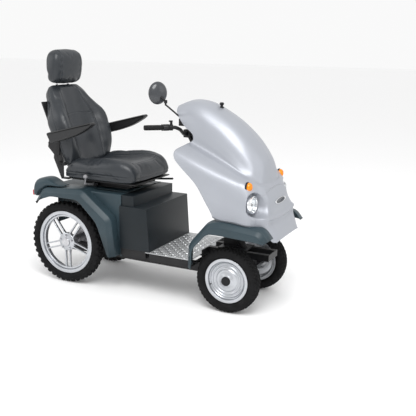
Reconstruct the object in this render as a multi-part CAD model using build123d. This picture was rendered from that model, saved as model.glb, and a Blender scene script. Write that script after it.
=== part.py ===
"""Four-wheel all-terrain mobility scooter.

Frame: +X forward, +Y to the rider's left, +Z up, millimetres. The origin is on the ground,
midway between the rearmost and the foremost point, on the centre plane.
Rear features are placed from the rear axle and front features from the front axle.
"""
from build123d import *
from math import atan2, cos, degrees, hypot, radians, sin
import os

# ---------------------------------------------------------------- driving dimensions
wheel_base = 1193
nose_overhang = 292           # front axle to the tip of the nose
body_half_width = 346         # outer faces of all four mudguards

rear_tyre_radius = 280
rear_tyre_width = 80
rear_rim_radius = 216
rear_spoke_pairs = 5

front_tyre_radius = 204
front_tyre_width = 90
front_rim_radius = 141

tyre_wall = 9
bead_step = 14                # rim flange above the bead seat
flange = 5                    # thickness of the rim flange
running_gap = 0.05            # radial clearance of a turning fit
seat_gap = 0.3                # clearance between sliding or curved neighbours
shell = 4                     # wall of the moulded covers

rear_axle_x = (rear_tyre_radius - wheel_base - nose_overhang) / 2
front_axle_x = rear_axle_x + wheel_base
rear_rim_width = rear_tyre_width - 20
front_rim_width = front_tyre_width - 18
rear_tyre_y = body_half_width - 90
front_tyre_y = body_half_width - 109

# chassis
rail_y = rear_tyre_y - 106
rail_width = 30
rail_height = 60
rail_top = 255
tube_wall = 3
front_rail_y = 60
front_rail_bottom = front_tyre_radius + 96
front_rail_height = 40
platform_top = rear_tyre_radius + 356    # steel plate that carries the seat

# footboard
tread_top = 302
tread_thickness = 4
tread_half_width = body_half_width - 66
front_wheel_gap = 32          # tyre to the foot of the front mudguard
sill_height = 44

# steering
steer_gain = 2                # degrees at the wheels for each degree at the bar
pitman_length = 60
knuckle_arm = pitman_length / steer_gain
column_lean = 30              # degrees back from upright
column_length = 881
shaft_radius = 15
jacket_radius = 24
jacket_start = 40
jacket_end = 700
bar_radius = 11
kingpin_y = front_tyre_y - 59
kingpin_radius = 8
beam_height = 40
pivot_pin_radius = 10
stub_radius = 10

# seat
post_x = 250                  # seat post, from the rear axle
post_radius = 38
stem_radius = 30
swivel_rise = 32              # turning plate above the seat plate
cushion_half_width = 255
recline_pivot = (-65, 249)    # from the rear axle, above the seat plate
back_lean = 21.9
arm_pivot = (-52, 349)
headrest_travel = 60


def rx(x):
    """A place measured forward from the rear axle."""
    return rear_axle_x + x


def fx(x):
    """A place measured forward from the front axle."""
    return front_axle_x + x


def rz(z):
    """A height measured from the rear axle."""
    return rear_tyre_radius + z


def fz(z):
    """A height measured from the front axle."""
    return front_tyre_radius + z


def sz(z):
    """A height measured from the seat plate."""
    return platform_top + z


# ---------------------------------------------------------------- shape helpers
def block(x0, x1, y0, y1, z0, z1):
    """A box between two corners."""
    middle = Pos((x0 + x1) / 2, (y0 + y1) / 2, (z0 + z1) / 2)
    return middle * Box(abs(x1 - x0), abs(y1 - y0), abs(z1 - z0))


def rod(a, b, radius):
    """A round bar from point a to point b."""
    start, end = Vector(*a), Vector(*b)
    axis = end - start
    plane = Plane(origin=start, z_dir=axis)
    return extrude(plane * Circle(radius), amount=axis.length)


def pipe(a, b, radius, bore):
    """A round tube from a to b."""
    return rod(a, b, radius) - rod(a, b, bore)


def side_plate(points, y0, y1):
    """A side-view outline of (x, z) points, extruded across from y0 to y1."""
    outline = make_face(Polyline(*[(x, y0, z) for x, z in points], close=True))
    return extrude(outline, amount=abs(y1 - y0), dir=(0, 1 if y1 > y0 else -1, 0))


def other_side(shape):
    """The same shape on the other side of the centre plane."""
    return mirror(shape, about=Plane.XZ)


def group(*shapes):
    """Several solids kept apart in one node."""
    return Compound(children=[s for shape in shapes for s in shape.solids()])


def both_sides(shape):
    """The shape and its mirror image, kept apart."""
    return group(shape, other_side(shape))


def turned(profile, x, z):
    """A round part: (y, radius) points turned about the Y axis through (x, z)."""
    outline = make_face(Polyline(*[(x, y, z + r) for y, r in profile], close=True))
    return revolve(outline, axis=Axis((x, 0, z), (0, 1, 0)))


def box_tube(x0, x1, y0, y1, z0, z1, along_axis):
    """A rectangular hollow section that runs along one axis."""
    w = tube_wall
    gx, gy, gz = {"x": (0, w, w), "y": (w, 0, w), "z": (w, w, 0)}[along_axis]
    hollow = block(x0 + gx, x1 - gx, y0 + gy, y1 - gy, z0 + gz, z1 - gz)
    return block(x0, x1, y0, y1, z0, z1) - hollow


def offset_line(points, distance):
    """An open (x, z) line moved to its right by a distance, with mitred corners."""
    moved = []
    last = len(points) - 1
    for i, (x, z) in enumerate(points):
        before, after = points[max(i - 1, 0)], points[min(i + 1, last)]
        into = atan2(z - before[1], x - before[0]) if i > 0 else None
        out = atan2(after[1] - z, after[0] - x) if i < last else into
        into = out if into is None else into
        middle = (into + out) / 2
        reach = distance / cos((out - into) / 2)
        moved.append((x + reach * sin(middle), z - reach * cos(middle)))
    return moved


def along(a, b, share):
    """The point that lies a share of the way from a to b."""
    return tuple(p + (q - p) * share for p, q in zip(a, b))


def mirrored_loft(stations):
    """A body through cross sections: each station is (x, half outline of (y, z) from top to bottom)."""
    faces = []
    for x, half in stations:
        ring = half + [(-y, z) for y, z in reversed(half) if y != 0]
        faces.append(make_face(Polyline(*[(x, y, z) for y, z in ring], close=True)))
    return loft(faces, ruled=True)


# ---------------------------------------------------------------- wheels
def tyre_ring(x, z, y, radius, width, rim_radius, rim_width):
    """A hollow tyre with a rounded crown, open towards the rim."""
    half, bead, middle = width / 2, rim_radius - bead_step, (rim_radius + radius) / 2
    seat = rim_width / 2 - flange - 1
    outer = [(seat - seat_gap, bead), (seat + 1 - seat_gap, rim_radius + 1), (half * 0.92, rim_radius + 10),
             (half, middle), (half * 0.92, radius - 16), (half * 0.55, radius - 4)]
    inner = [(half * 0.50, radius - tyre_wall - 6), (half - tyre_wall - 1, middle - 2),
             (seat - tyre_wall, bead)]
    ring = [(-w, r) for w, r in outer] + [(0, radius)] + outer[::-1]
    ring += inner[::-1] + [(0, radius - tyre_wall)] + [(-w, r) for w, r in inner]
    return turned([(y + w, r) for w, r in ring], x, z)


def rim_barrel(x, z, y, rim_radius, width, well):
    """The turned barrel of a rim, with a flange each side and a drop centre."""
    half, wall, seat = width / 2, 5, rim_radius - bead_step
    lip = [(half, rim_radius), (half - flange, rim_radius), (half - flange - 1, seat), (half - 16, seat - 1),
           (half - 22, seat - well)]
    under = [(half, seat - wall), (half - 18, seat - wall - 1), (half - 24, seat - well - wall)]
    ring = [(-w, r) for w, r in lip] + lip[::-1] + under + [(-w, r) for w, r in under[::-1]]
    return turned([(y + w, r) for w, r in ring], x, z)


def rear_wheel(side):
    """Cast wheel with five pairs of parallel spokes, and the half shaft it is bolted to."""
    x, z, y = rear_axle_x, rear_tyre_radius, side * rear_tyre_y
    well = 12
    wheel = rim_barrel(x, z, y, rear_rim_radius, rear_rim_width, well)
    wheel += rod((x, y - 20, z), (x, y + 20, z), 62)
    reach = rear_rim_radius - bead_step - well - 2
    for pair in range(rear_spoke_pairs):
        for gap in (-17, 17):
            turn = Pos(x, y, z) * Rot(0, 360 / rear_spoke_pairs * pair + 90, 0)
            wheel += turn * Pos((reach + 50) / 2, 0, gap) * Box(reach - 50, 16, 10)
    wheel += rod((x, y + side * 20, z), (x, y + side * 30, z), 30)
    wheel += rod((x, side * 100, z), (x, y, z), 12)
    wheel += rod((x, side * (rear_tyre_y - 46), z), (x, y, z), 40)
    for i in range(5):
        turn = radians(72 * i + 54)
        nut = (x + 48 * cos(turn), y + side * 20, z + 48 * sin(turn))
        wheel += extrude(Plane(origin=nut, z_dir=(0, side, 0)) * RegularPolygon(8, 6), amount=8)
    return wheel


def front_wheel(side):
    """Pressed steel wheel with a dished disc, its hub and a cap."""
    x, z, y = front_axle_x, front_tyre_radius, side * front_tyre_y
    well = 14
    barrel = rim_barrel(x, z, y, front_rim_radius, front_rim_width, well)
    edge = front_rim_radius - bead_step - well - 2
    dish = [(6, 30), (20, edge - 26), (4, edge), (10, edge), (26, edge - 26), (12, 30)]
    disc = turned([(y + side * w, r) for w, r in dish], x, z)
    hub = rod((x, y - side * 14, z), (x, y + side * 30, z), 34)
    wheel = barrel + disc + hub + rod((x, y + side * 30, z), (x, y + side * 42, z), 28)
    return wheel - rod((x, y - side * 20, z), (x, y + side * 24, z), stub_radius + running_gap)


# ---------------------------------------------------------------- chassis
tread_rear, tread_front = rx(628), fx(-front_tyre_radius - front_wheel_gap - 4)
rail_front = tread_front + 20
rail_rear = rx(-120)
rail_bottom = rail_top - rail_height
post_places = (rx(120), rx(400))
post_half = 15
well_y = rail_y + 20           # inner wall of each rear wheel well
battery_front = rx(615)


def main_frame():
    """Two long rails with cross tubes, the battery tray and the rear plate for a rack."""
    y0, y1 = rail_y - rail_width / 2, rail_y + rail_width / 2
    rail = box_tube(rail_rear, rail_front, y0, y1, rail_bottom, rail_top, "x")
    frame = rail + other_side(rail)
    for x in (rx(320), rx(640), fx(-270)):
        frame += box_tube(x - 20, x + 20, -y0, y0, rail_bottom + 10, rail_top - 10, "y")
    rack = block(rail_rear - 6, rail_rear, -y1, y1, rail_bottom, rail_top)
    for y in (-60, 60):
        for z in (rail_top - 45, rail_top - 15):
            rack -= rod((rail_rear - 10, y, z), (rail_rear + 5, y, z), 4.5)
    x0, x1, reach = battery_front - 180, battery_front + 8, tread_half_width - 12
    tray = block(x0, x1, -reach, reach, rail_top, tread_top)
    tray -= block(x0 + 3, x1 - 3, 3 - reach, reach - 3, rail_top + 4, tread_top + 1)
    return frame + rack + tray


def seat_tower():
    """Four posts and two cross heads, with the seat plate and the socket for the seat stem."""
    head_bottom = sz(-36)
    reach = rail_y + post_half
    frame = block(post_places[0] - 15, post_places[1] + 15, -110, 110, sz(-6), platform_top)
    for x in post_places:
        x0, x1 = x - post_half, x + post_half
        frame += box_tube(x0, x1, -reach, reach, head_bottom, sz(-6), "y")
        for y in (-rail_y, rail_y):
            frame += box_tube(x0, x1, y - post_half, y + post_half, rail_top, head_bottom, "z")
    x = rx(post_x)
    frame += rod((x, 0, sz(-80)), (x, 0, sz(swivel_rise - 4)), post_radius)
    return frame - rod((x, 0, sz(-90)), (x, 0, sz(swivel_rise)), stem_radius + running_gap)


def front_subframe():
    """Narrow front rails, their risers, and the ears and pin that the front axle rocks on."""
    y0, y1 = front_rail_y - 15, front_rail_y + 15
    bottom, top, nose_end = front_rail_bottom, front_rail_bottom + front_rail_height, fx(190)
    rail = box_tube(rail_front, nose_end, y0, y1, bottom, top, "x")
    riser = block(rail_front, rail_front + 5, y0, rail_y + 15, rail_bottom, top)
    half = rail + riser
    frame = half + other_side(half) + block(nose_end, nose_end + 6, -y1, y1, bottom, top)
    for x0 in (fx(-92), fx(36)):
        frame += block(x0, x0 + 12, -y1, y1, fz(-30), bottom)
    return frame + rod((fx(-100), 0, fz(0)), (fx(56), 0, fz(0)), pivot_pin_radius)


def gearbox():
    """Transaxle case with its two axle tubes and the feet that hold it under the rails."""
    x, z = rear_axle_x, rear_tyre_radius
    body = rod((x, -62, z), (x, 62, z), 74) + rod((x + 30, 0, z), (x + 92, 0, z), 52)
    tube_end = rear_tyre_y - 60
    body += rod((x, -tube_end, z), (x, tube_end, z), 24)
    for y in (-rail_y, rail_y):
        body += block(x - 30, x + 30, y - 12, y + 12, rail_top, z)
    return body - rod((x, -tube_end, z), (x, tube_end, z), 12 + running_gap)


freewheel_pivot = (rx(282), rz(56))


def drive_motor():
    """Electric motor end on to the gearbox, with its brake and the ears of the release lever."""
    x, z = rear_axle_x, rear_tyre_radius
    body = rod((x + 92, 0, z), (x + 262, 0, z), 54) + rod((x + 262, 0, z), (x + 300, 0, z), 44)
    body += block(x + 150, x + 200, -22, 22, z + 40, z + 68)
    px, pz = freewheel_pivot
    for y in (-10, 4):
        body += block(px - 9, px + 9, y, y + 6, z + 40, pz + 9)
    return body - rod((px, -12, pz), (px, 12, pz), 4 + running_gap)


def freewheel_lever():
    """Lever that frees the brake so that the scooter can be pushed."""
    x, z = freewheel_pivot
    arm = block(x - 7, x + 7, -3.5, 3.5, z - 8, z + 52)
    return arm + rod((x, -9, z + 60), (x, 9, z + 60), 11) + rod((x, -9.5, z), (x, 9.5, z), 4)


def batteries():
    """Two 12 volt batteries side by side, with their terminals and the bar that links them."""
    base, top = rail_top + 4, rail_top + 218
    x0, x1 = battery_front - 172, battery_front
    y0, y1 = 6, tread_half_width - 24
    one = block(x0, x1, y0, y1, base, top)
    for y in (y0 + 30, y1 - 30):
        one += rod((x1 - 40, y, top), (x1 - 40, y, top + 14), 8)
    link = block(x1 - 46, x1 - 34, -30, 30, top + 14, top + 18)
    return group(one, other_side(one), link)


def motor_controller():
    """Controller case with cooling fins, hung under the seat plate."""
    x0, z1, y1 = rx(150), sz(-36), well_y - 46
    body = block(x0, x0 + 190, 44, y1, z1 - 52, z1 - 14)
    for i in range(8):
        body += block(x0 + 8 + i * 24, x0 + 12 + i * 24, 46, y1 - 2, z1 - 14, z1)
    return body


# ---------------------------------------------------------------- floor and covers
box_half = cushion_half_width + 20
box_top = 583
box_front_top, box_front_bottom = 635, 655
step_front, step_half, step_rise = 528, 254, 14
box_rear = 432


def footboard():
    """Flat aluminium tread plate."""
    return block(tread_rear, tread_front, -tread_half_width, tread_half_width,
                 tread_top - tread_thickness, tread_top)


def footboard_sills():
    """Folded black side sills under the edges of the tread plate."""
    top = tread_top - tread_thickness
    y1 = tread_half_width - 2
    x0 = rx(box_front_bottom)
    sill = block(x0, tread_front, y1 - 4, y1, top - sill_height, top)
    sill += block(x0, tread_front, y1 - 24, y1, top - 4, top)
    sill += block(x0, tread_front, rail_y + 15, y1, top - sill_height, top - sill_height + 4)
    return both_sides(sill)


def battery_cover():
    """Moulded front box over the batteries, with the raised step that runs under the seat."""
    low, rear = tread_top + 1, rx(box_rear)
    front_low, front_top = rx(box_front_bottom), rx(box_front_top)
    outer = side_plate([(rear, low), (front_low, low), (front_top, box_top), (rear, box_top)],
                       -box_half, box_half)
    inner = side_plate([(rear - 5, low - 5), (front_low - shell, low - 5),
                        (front_top - shell, box_top - shell), (rear - 5, box_top - shell)],
                       shell - box_half, box_half - shell)
    step = block(rear, rx(step_front), -step_half, step_half, box_top, sz(step_rise))
    hollow = block(rear - 5, rx(step_front) - shell, shell - step_half, step_half - shell,
                   box_top - shell - 1, sz(step_rise) - shell)
    return outer + step - inner - hollow


# Rear mudguard, side view from the rear tip to the foot: x from the axle, z from the axle.
fender_line = [(-203, 278), (-139, 372), (174, 388), (398, 219), (424, -28)]
fender_lip = [(382, -28), (298, 188), (155, 322), (-74, 323)]
fender_well = [(-203, 278), (-139, 372), (174, 388), (398, 219), (424, -28), (330, -28), (300, 140),
               (150, 300), (-60, 320)]
# Pod on top of each mudguard: x, underside, top, half width.
pod_sections = [(-238, 300, 344, 50), (-214, 298, 412, 66), (-130, 372, 436, 64), (-60, 378, 410, 58),
                (0, 382, 390, 46)]


def rear_fender_top():
    """The outer line of the rear mudguard, from its rear tip to its foot."""
    return [(rx(x), rz(z)) for x, z in fender_line]


def tail_pods():
    """Rounded pod on each mudguard that carries the tail lamp."""
    y = -(body_half_width + well_y) / 2
    faces = []
    for x, low, high, half in pod_sections:
        rise = high - low
        ring = [(-half, low), (-half * 0.92, low + rise * 0.6), (-half * 0.55, high), (half * 0.55, high),
                (half * 0.92, low + rise * 0.6), (half, low)]
        faces.append(make_face(Polyline(*[(rx(x), y + w, rz(z)) for w, z in ring], close=True)))
    below = side_plate(rear_fender_top() + [(rx(-300), rz(-28))], -body_half_width - 10, 0)
    return both_sides(loft(faces, ruled=True) - below)


def rear_mudguards():
    """Bent top, deep outer skirt and inner wall, for each side."""
    outer = rear_fender_top()
    under = offset_line(outer, shell)
    y0 = -body_half_width
    guard = side_plate(outer + under[::-1], y0, -well_y)
    guard += side_plate(outer + [(rx(x), rz(z)) for x, z in fender_lip], y0, y0 + shell)
    guard += side_plate([(rx(x), rz(z)) for x, z in fender_well], -well_y - shell, -well_y)
    return both_sides(guard)


def rear_deck():
    """Moulded deck between the mudguards, with a hole for the seat post."""
    edge = well_y - seat_gap
    x0, x1, top = rx(-139), rx(box_rear) - seat_gap, sz(19)
    deck = block(x0, x1, -edge, edge, top - 5, top)
    deck += block(x0 - 4, x0, -edge, edge, rz(100), top)
    deck += block(x1 - 4, x1, -edge, edge, sz(-60), top)
    return deck - rod((rx(post_x), 0, sz(0)), (rx(post_x), 0, top + 5), post_radius + 4)


def tail_lamps():
    """Red lamp on the back of each pod."""
    y = -(body_half_width + well_y) / 2
    x, _, _, half = pod_sections[0]
    lamp = block(rx(x) - 14, rx(x), y - half * 0.8, y + half * 0.8, rz(304), rz(340))
    return both_sides(lamp)


# Front mudguard, side view from the foot to the front tip: x and z from the front axle.
front_foot_x = -front_tyre_radius - front_wheel_gap
front_fender_line = [(front_foot_x, 64), (front_foot_x + 5, 213), (-110, 358), (-28, 375), (232, 353),
                     (277, 298)]
front_fender_lip = [(199, 290), (-101, 299), (front_foot_x + 36, 189), (front_foot_x + 32, 64)]
wide = body_half_width / 346


def front_mudguards():
    """Bent top sloping up to the fairing, with an outer skirt, for each side."""
    outer = [(fx(x), fz(z)) for x, z in front_fender_line]
    under = offset_line(outer, shell)
    y0 = -body_half_width
    guard = side_plate(outer + under[::-1], y0, y0 + 100 * wide)
    guard += side_plate(outer + [(fx(x), fz(z)) for x, z in front_fender_lip], y0, y0 + shell)
    return both_sides(guard)


# ---------------------------------------------------------------- fairing
# Half sections of the hood from the crest to the hem of the leg shield, at places along x:
# x from the front axle, then (y, z) with z from the front axle.
hood_sections = [
    (-455, [(0, 1020), (62, 1012), (108, 980), (128, 930), (138, 886), (148, 838), (196, 808), (262, 768),
            (272, 726), (262, 676)]),
    (-370, [(0, 1054), (80, 1040), (126, 996), (144, 936), (150, 886), (158, 838), (206, 812), (284, 768),
            (300, 696), (286, 626)]),
    (-270, [(0, 1054), (92, 1034), (142, 978), (156, 914), (162, 856), (170, 802), (220, 780), (300, 731),
            (316, 636), (300, 536)]),
    (-150, [(0, 1002), (96, 980), (150, 918), (166, 852), (174, 796), (182, 752), (232, 730), (306, 681),
            (322, 566), (306, 436)]),
    (-50, [(0, 940), (102, 915), (156, 850), (176, 780), (186, 734), (194, 706), (242, 684), (304, 641),
           (322, 510), (304, 388)]),
    (50, [(0, 852), (102, 828), (157, 764), (180, 696), (193, 668), (205, 654), (248, 642), (298, 608),
          (320, 490), (304, 384)]),
    (118, [(0, 768), (94, 745), (144, 695), (176, 644), (192, 630), (210, 624), (250, 616), (288, 590),
           (316, 480), (300, 384)]),
]
hood_rear_edge = [(-470, 1096), (-448, 1021), (-430, 986), (-362, 906), (-298, 858), (-292, 826), (-318, 801),
                  (-352, 771), (-344, 726), (-300, 682), (-192, 587), (-128, 483), (-84, 396), (-84, 350),
                  (-500, 350), (-500, 1096)]
# The nose, from the hood's front past the lamps to the foot of the front panel.
nose_sections = [
    (118, [(0, 768), (94, 745), (144, 695), (176, 640), (230, 618), (288, 590), (316, 480), (312, 396),
           (244, 386), (236, 276)]),
    (150, [(0, 712), (84, 690), (130, 638), (156, 600), (222, 584), (270, 556), (314, 480), (309, 396),
           (244, 386), (234, 272)]),
    (168, [(0, 648), (70, 626), (110, 592), (150, 576), (212, 560), (258, 534), (311, 480), (300, 397),
           (242, 386), (232, 270)]),
    (178, [(0, 560), (70, 556), (110, 552), (150, 546), (206, 530), (250, 508), (298, 472), (288, 398),
           (240, 386), (230, 268)]),
    (232, [(0, 446), (70, 444), (110, 442), (150, 438), (190, 430), (214, 420), (230, 408), (234, 396),
           (230, 386), (220, 264)]),
    (240, [(0, 392), (70, 391), (110, 390), (150, 388), (180, 385), (200, 382), (214, 378), (222, 372),
           (224, 362), (216, 262)]),
    (264, [(0, 346), (70, 344), (110, 340), (150, 336), (170, 330), (186, 324), (200, 316), (208, 306),
           (212, 290), (210, 260)]),
    (nose_overhang, [(0, 276), (60, 275), (100, 274), (130, 273), (150, 272), (165, 270), (176, 268),
                     (186, 266), (194, 263), (200, 259)]),
]


def inset(half, distance):
    """A half section moved inwards by a distance, open at its foot."""
    moved = []
    last = len(half) - 1
    for i, (y, z) in enumerate(half):
        before = half[i - 1] if i else (-half[1][0], half[1][1])
        after = half[min(i + 1, last)]
        run, fall = after[0] - before[0], after[1] - before[1]
        size = hypot(run, fall)
        moved.append((y + fall / size * distance if i else 0, z - run / size * distance))
    foot_y, foot_z = moved[-1]
    moved[-1] = (foot_y, foot_z - 60)
    return moved


def fairing_shell(sections, first, last):
    """A moulded shell through the sections, open below; the cavity is shifted along x by first and last."""
    placed = [(fx(x), [(y * wide, fz(z)) for y, z in half]) for x, half in sections]
    cavity = [(x, inset(half, shell)) for x, half in placed]
    cavity[0] = (cavity[0][0] + first, cavity[0][1])
    cavity[-1] = (cavity[-1][0] + last, cavity[-1][1])
    return mirrored_loft(placed) - mirrored_loft(cavity)


hood_knob_base = (fx(-178), 0, fz(1014))
mirror_foot = (fx(-414), -84, fz(942))
mirror_neck = (fx(-422), -270, fz(1054))


def hood():
    """Silver hood and leg shields, cut to the rear edge."""
    body = fairing_shell(hood_sections, -1, 1)
    reach = body_half_width + 10
    body -= side_plate([(fx(x), fz(z)) for x, z in hood_rear_edge], -reach, reach)
    x, _, z = hood_knob_base
    body -= rod(mirror_foot, mirror_neck, 5 + 1.5)
    return body - rod((x, 0, z - 60), (x, 0, z + 60), 6 + running_gap)


lamp_y = 256 * wide
lamp_x, lamp_z, lamp_radius = fx(160), fz(489), 54
indicator_x, indicator_y, indicator_z = fx(118), 262 * wide, fz(592)


def nose():
    """Silver nose with a round opening for each head lamp."""
    body = fairing_shell(nose_sections, -1, -shell)
    for side in (-1, 1):
        y = side * lamp_y
        body -= rod((lamp_x - 60, y, lamp_z), (lamp_x + 120, y, lamp_z), lamp_radius + 1)
        y = side * indicator_y
        body -= rod((indicator_x - 9, y, indicator_z), (indicator_x + 30, y, indicator_z), 30 + seat_gap)
    return body


def headlamp_bowls():
    """Round lamp bowl, closed at the back, with a rim round the lens."""
    x0, x1 = lamp_x - 40, lamp_x
    bowl = rod((x0, lamp_y, lamp_z), (x1, lamp_y, lamp_z), lamp_radius)
    bowl -= rod((x0 + 4, lamp_y, lamp_z), (x1 + 1, lamp_y, lamp_z), lamp_radius - 4)
    return both_sides(bowl)


def headlamp_lenses():
    """Clear lens in the mouth of each bowl."""
    lens = rod((lamp_x - 6, lamp_y, lamp_z), (lamp_x, lamp_y, lamp_z), lamp_radius - 4)
    return both_sides(lens)


def indicator_lenses():
    """Amber domed indicator at the front end of each leg shield's crest."""
    x, y, z = indicator_x, indicator_y, indicator_z
    return both_sides(rod((x, y, z), (x + 12, y, z), 30) + rod((x + 12, y, z), (x + 24, y, z), 21))


def badge():
    """Plain oval plate on the nose."""
    (x0, top), (x1, low) = [(x, half[0][1]) for x, half in nose_sections[3:5]]
    tilt = degrees(atan2(top - low, x1 - x0))
    x, z = along((x0, top), (x1, low), 0.72)
    place = Pos(fx(x), 0, fz(z)) * Rot(0, tilt, 0) * Pos(0, 0, 0.2)
    return place * extrude(Ellipse(19, 52), amount=5)


dash_low, dash_high = (fx(-394), fz(884)), (fx(-410), fz(990))
dash_half = 62


def on_dash(across, share, out=0.0):
    """A point on the rider's face of the dash: across is y, share runs from its foot to its top."""
    x, z = along(dash_low, dash_high, share)
    run, rise = dash_high[0] - dash_low[0], dash_high[1] - dash_low[1]
    size = hypot(run, rise)
    return (x - rise / size * out, across, z + run / size * out)


def dash_panel():
    """Control panel inside the rear opening of the hood, with holes for the controls."""
    face = [(on_dash(0, s, d)[0], on_dash(0, s, d)[2]) for s, d in ((0, 0), (1, 0), (1, -4), (0, -4))]
    body = side_plate(face, -dash_half, dash_half)
    for y, share, radius in ((-34, 0.3, 8), (34, 0.3, 10), (-34, 0.72, 7), (34, 0.72, 7)):
        body -= rod(on_dash(y, share, 5), on_dash(y, share, -10), radius + running_gap)
    x, _, z = on_dash(0, 0.5, -4)
    return body + block(x, x + 60, -12, 12, z - 10, z + 10)


def key():
    """Ignition key in its lock barrel."""
    body = rod(on_dash(-34, 0.3, -14), on_dash(-34, 0.3, 5), 8)
    x, y, z = on_dash(-34, 0.3, 5)
    return body + block(x - 24, x, y - 1.5, y + 1.5, z - 9, z + 9)


def speed_dial():
    """Speed knob with a pointer edge."""
    body = rod(on_dash(34, 0.3, -8), on_dash(34, 0.3, 1), 10)
    body += rod(on_dash(34, 0.3, 1), on_dash(34, 0.3, 15), 16)
    x, y, z = on_dash(34, 0.3, 15)
    return body + block(x - 1, x + 4, y - 2, y + 2, z + 2, z + 14)


def horn_button():
    """Round push button."""
    return rod(on_dash(-34, 0.72, -10), on_dash(-34, 0.72, 8), 7)


def light_switch():
    """Small lever switch for the lamps."""
    body = rod(on_dash(34, 0.72, -10), on_dash(34, 0.72, 2), 7)
    return body + rod(on_dash(34, 0.72, 2), on_dash(34, 0.72, 18), 3)


def hood_knob():
    """Black latch knob on the crest of the hood."""
    x, _, z = hood_knob_base
    return rod((x, 0, z - 24), (x, 0, z + 14), 6) + rod((x, 0, z + 14), (x, 0, z + 34), 11)


def charge_cap():
    """Hinged cap over the charging socket, on the left of the battery box."""
    x, y, z = rx(box_rear + 50), box_half, 540
    cap = block(x - 20, x + 20, y + 0.5, y + 5, z - 22, z + 18)
    return cap + rod((x - 18, y + 5.5, z + 20), (x + 18, y + 5.5, z + 20), 4)


# ---------------------------------------------------------------- front axle and steering
arm_z = fz(beam_height / 2 + 1)
arm_thick = 10
tie_z = arm_z + arm_thick + 10


def axle_beam():
    """Beam axle with a pivot bush in the middle and a kingpin boss at each end."""
    h = beam_height / 2
    x = front_axle_x
    half = block(x - 20, x + 20, -kingpin_y, 0, fz(-h), fz(h))
    half += rod((x, -kingpin_y, fz(-h)), (x, -kingpin_y, fz(h)), 20)
    beam = half + other_side(half) + rod((x - 76, 0, fz(0)), (x + 32, 0, fz(0)), 27)
    beam -= rod((x - 100, 0, fz(0)), (x + 60, 0, fz(0)), pivot_pin_radius + running_gap)
    for y in (-kingpin_y, kingpin_y):
        beam -= rod((x, y, fz(-40)), (x, y, fz(40)), kingpin_radius + running_gap)
    return beam


def knuckle(side):
    """Steering knuckle: yoke, kingpin, stub axle and the arm that points back."""
    x, y, z = front_axle_x, side * kingpin_y, front_tyre_radius
    low = fz(-beam_height / 2 - 1) - arm_thick
    inner, web, outer = y - side * 18, y + side * 24, y + side * 34
    yoke = block(x - 18, x + 18, inner, outer, low, low + arm_thick)
    yoke += block(x - 18, x + 18, inner, outer, arm_z, arm_z + arm_thick)
    yoke += block(x - 18, x + 18, web, outer, low, arm_z + arm_thick)
    yoke += rod((x, y, low), (x, y, arm_z + arm_thick), kingpin_radius)
    yoke += rod((x, web, z), (x, side * (front_tyre_y + 22), z), stub_radius)
    yoke += block(x - knuckle_arm - 11, x, y - 10, y + 10, arm_z, arm_z + arm_thick)
    hole = 5 + (running_gap if side < 0 else 0.8)
    return yoke - rod((x - knuckle_arm, y, arm_z - 5), (x - knuckle_arm, y, arm_z + 30), hole)


def tie_rod():
    """Track rod with a pin at each end, and the ring in the middle that the column's arm drives."""
    x = front_axle_x - knuckle_arm
    bar = rod((x, -kingpin_y, tie_z), (x, kingpin_y, tie_z), 8)
    for y in (-kingpin_y, kingpin_y):
        bar += rod((x, y, arm_z + arm_thick + 1), (x, y, tie_z + 9), 12)
        bar += rod((x, y, arm_z + 1), (x, y, tie_z), 5)
    bar += rod((x, 0, tie_z - 2), (x, 0, tie_z + 8), 26)
    return bar - rod((x, 0, tie_z - 20), (x, 0, tie_z + 20), 18)


lean_back, lean_up = sin(radians(column_lean)), cos(radians(column_lean))
foot_x = front_axle_x - knuckle_arm + pitman_length * lean_up


def on_column(distance, ahead=0.0):
    """A point on the steering axis; ahead moves it forward, square to the axis."""
    return (foot_x - lean_back * distance + lean_up * ahead, 0,
            front_rail_bottom + lean_up * distance + lean_back * ahead)


bar_centre = on_column(column_length - 20)


def steering_shaft():
    """Steering shaft, the arm at its foot that pushes the track rod, and the bar clamp on top."""
    shaft = rod(on_column(-4), on_column(column_length), shaft_radius) + rod(on_column(-2), on_column(8), 17)
    flat = Plane(origin=on_column(0), x_dir=(lean_up, 0, lean_back), z_dir=(-lean_back, 0, lean_up))
    arm = flat * Pos(-pitman_length / 2, 0) * Rectangle(pitman_length + 16, 18)
    shaft += extrude(arm, amount=5, both=True)
    tip = on_column(0, -pitman_length)
    shaft += rod((tip[0], 0, tip[2]), (tip[0], 0, tie_z - 2), 6)
    x, _, z = bar_centre
    shaft += block(x - 22, x + 22, -26, 26, z - 26, z + 24)
    return shaft - rod((x, -40, z), (x, 40, z), bar_radius)


def steering_jacket():
    """Fixed tube round the shaft, with its saddle, gusset and the two stays that carry the hood."""
    body = rod(on_column(jacket_start), on_column(jacket_end), jacket_radius)
    top = front_rail_bottom + front_rail_height
    reach = front_rail_y + 15
    body += block(fx(-150), fx(40), -reach, reach, top, top + 8)
    x, _, z = on_column(280)
    body += side_plate([(fx(-145), top + 7), (fx(-20), top + 7), (x, z)], -4, 4)
    for side in (-1, 1):
        body += rod(on_column(485), (fx(-104), side * 309 * wide, on_column(485)[2]), 8)
    body -= rod(on_column(-30), on_column(jacket_end + 30), shaft_radius + 4)
    for low in (jacket_start + 60, jacket_end - 40):
        body += pipe(on_column(low), on_column(low + 40), shaft_radius + 4, shaft_radius + running_gap)
    return body


grip_end = (fx(-553), 297, fz(894))


def bar_corners(side):
    """Corner points of one half of the handlebar, from the clamp to its end."""
    x, _, z = bar_centre
    end = (grip_end[0], side * grip_end[1], grip_end[2])
    return [(x, 0, z), (x, side * 60, z), (x + 10, side * 130, fz(878)), (fx(-404), side * 182, fz(896)), end]


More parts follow.
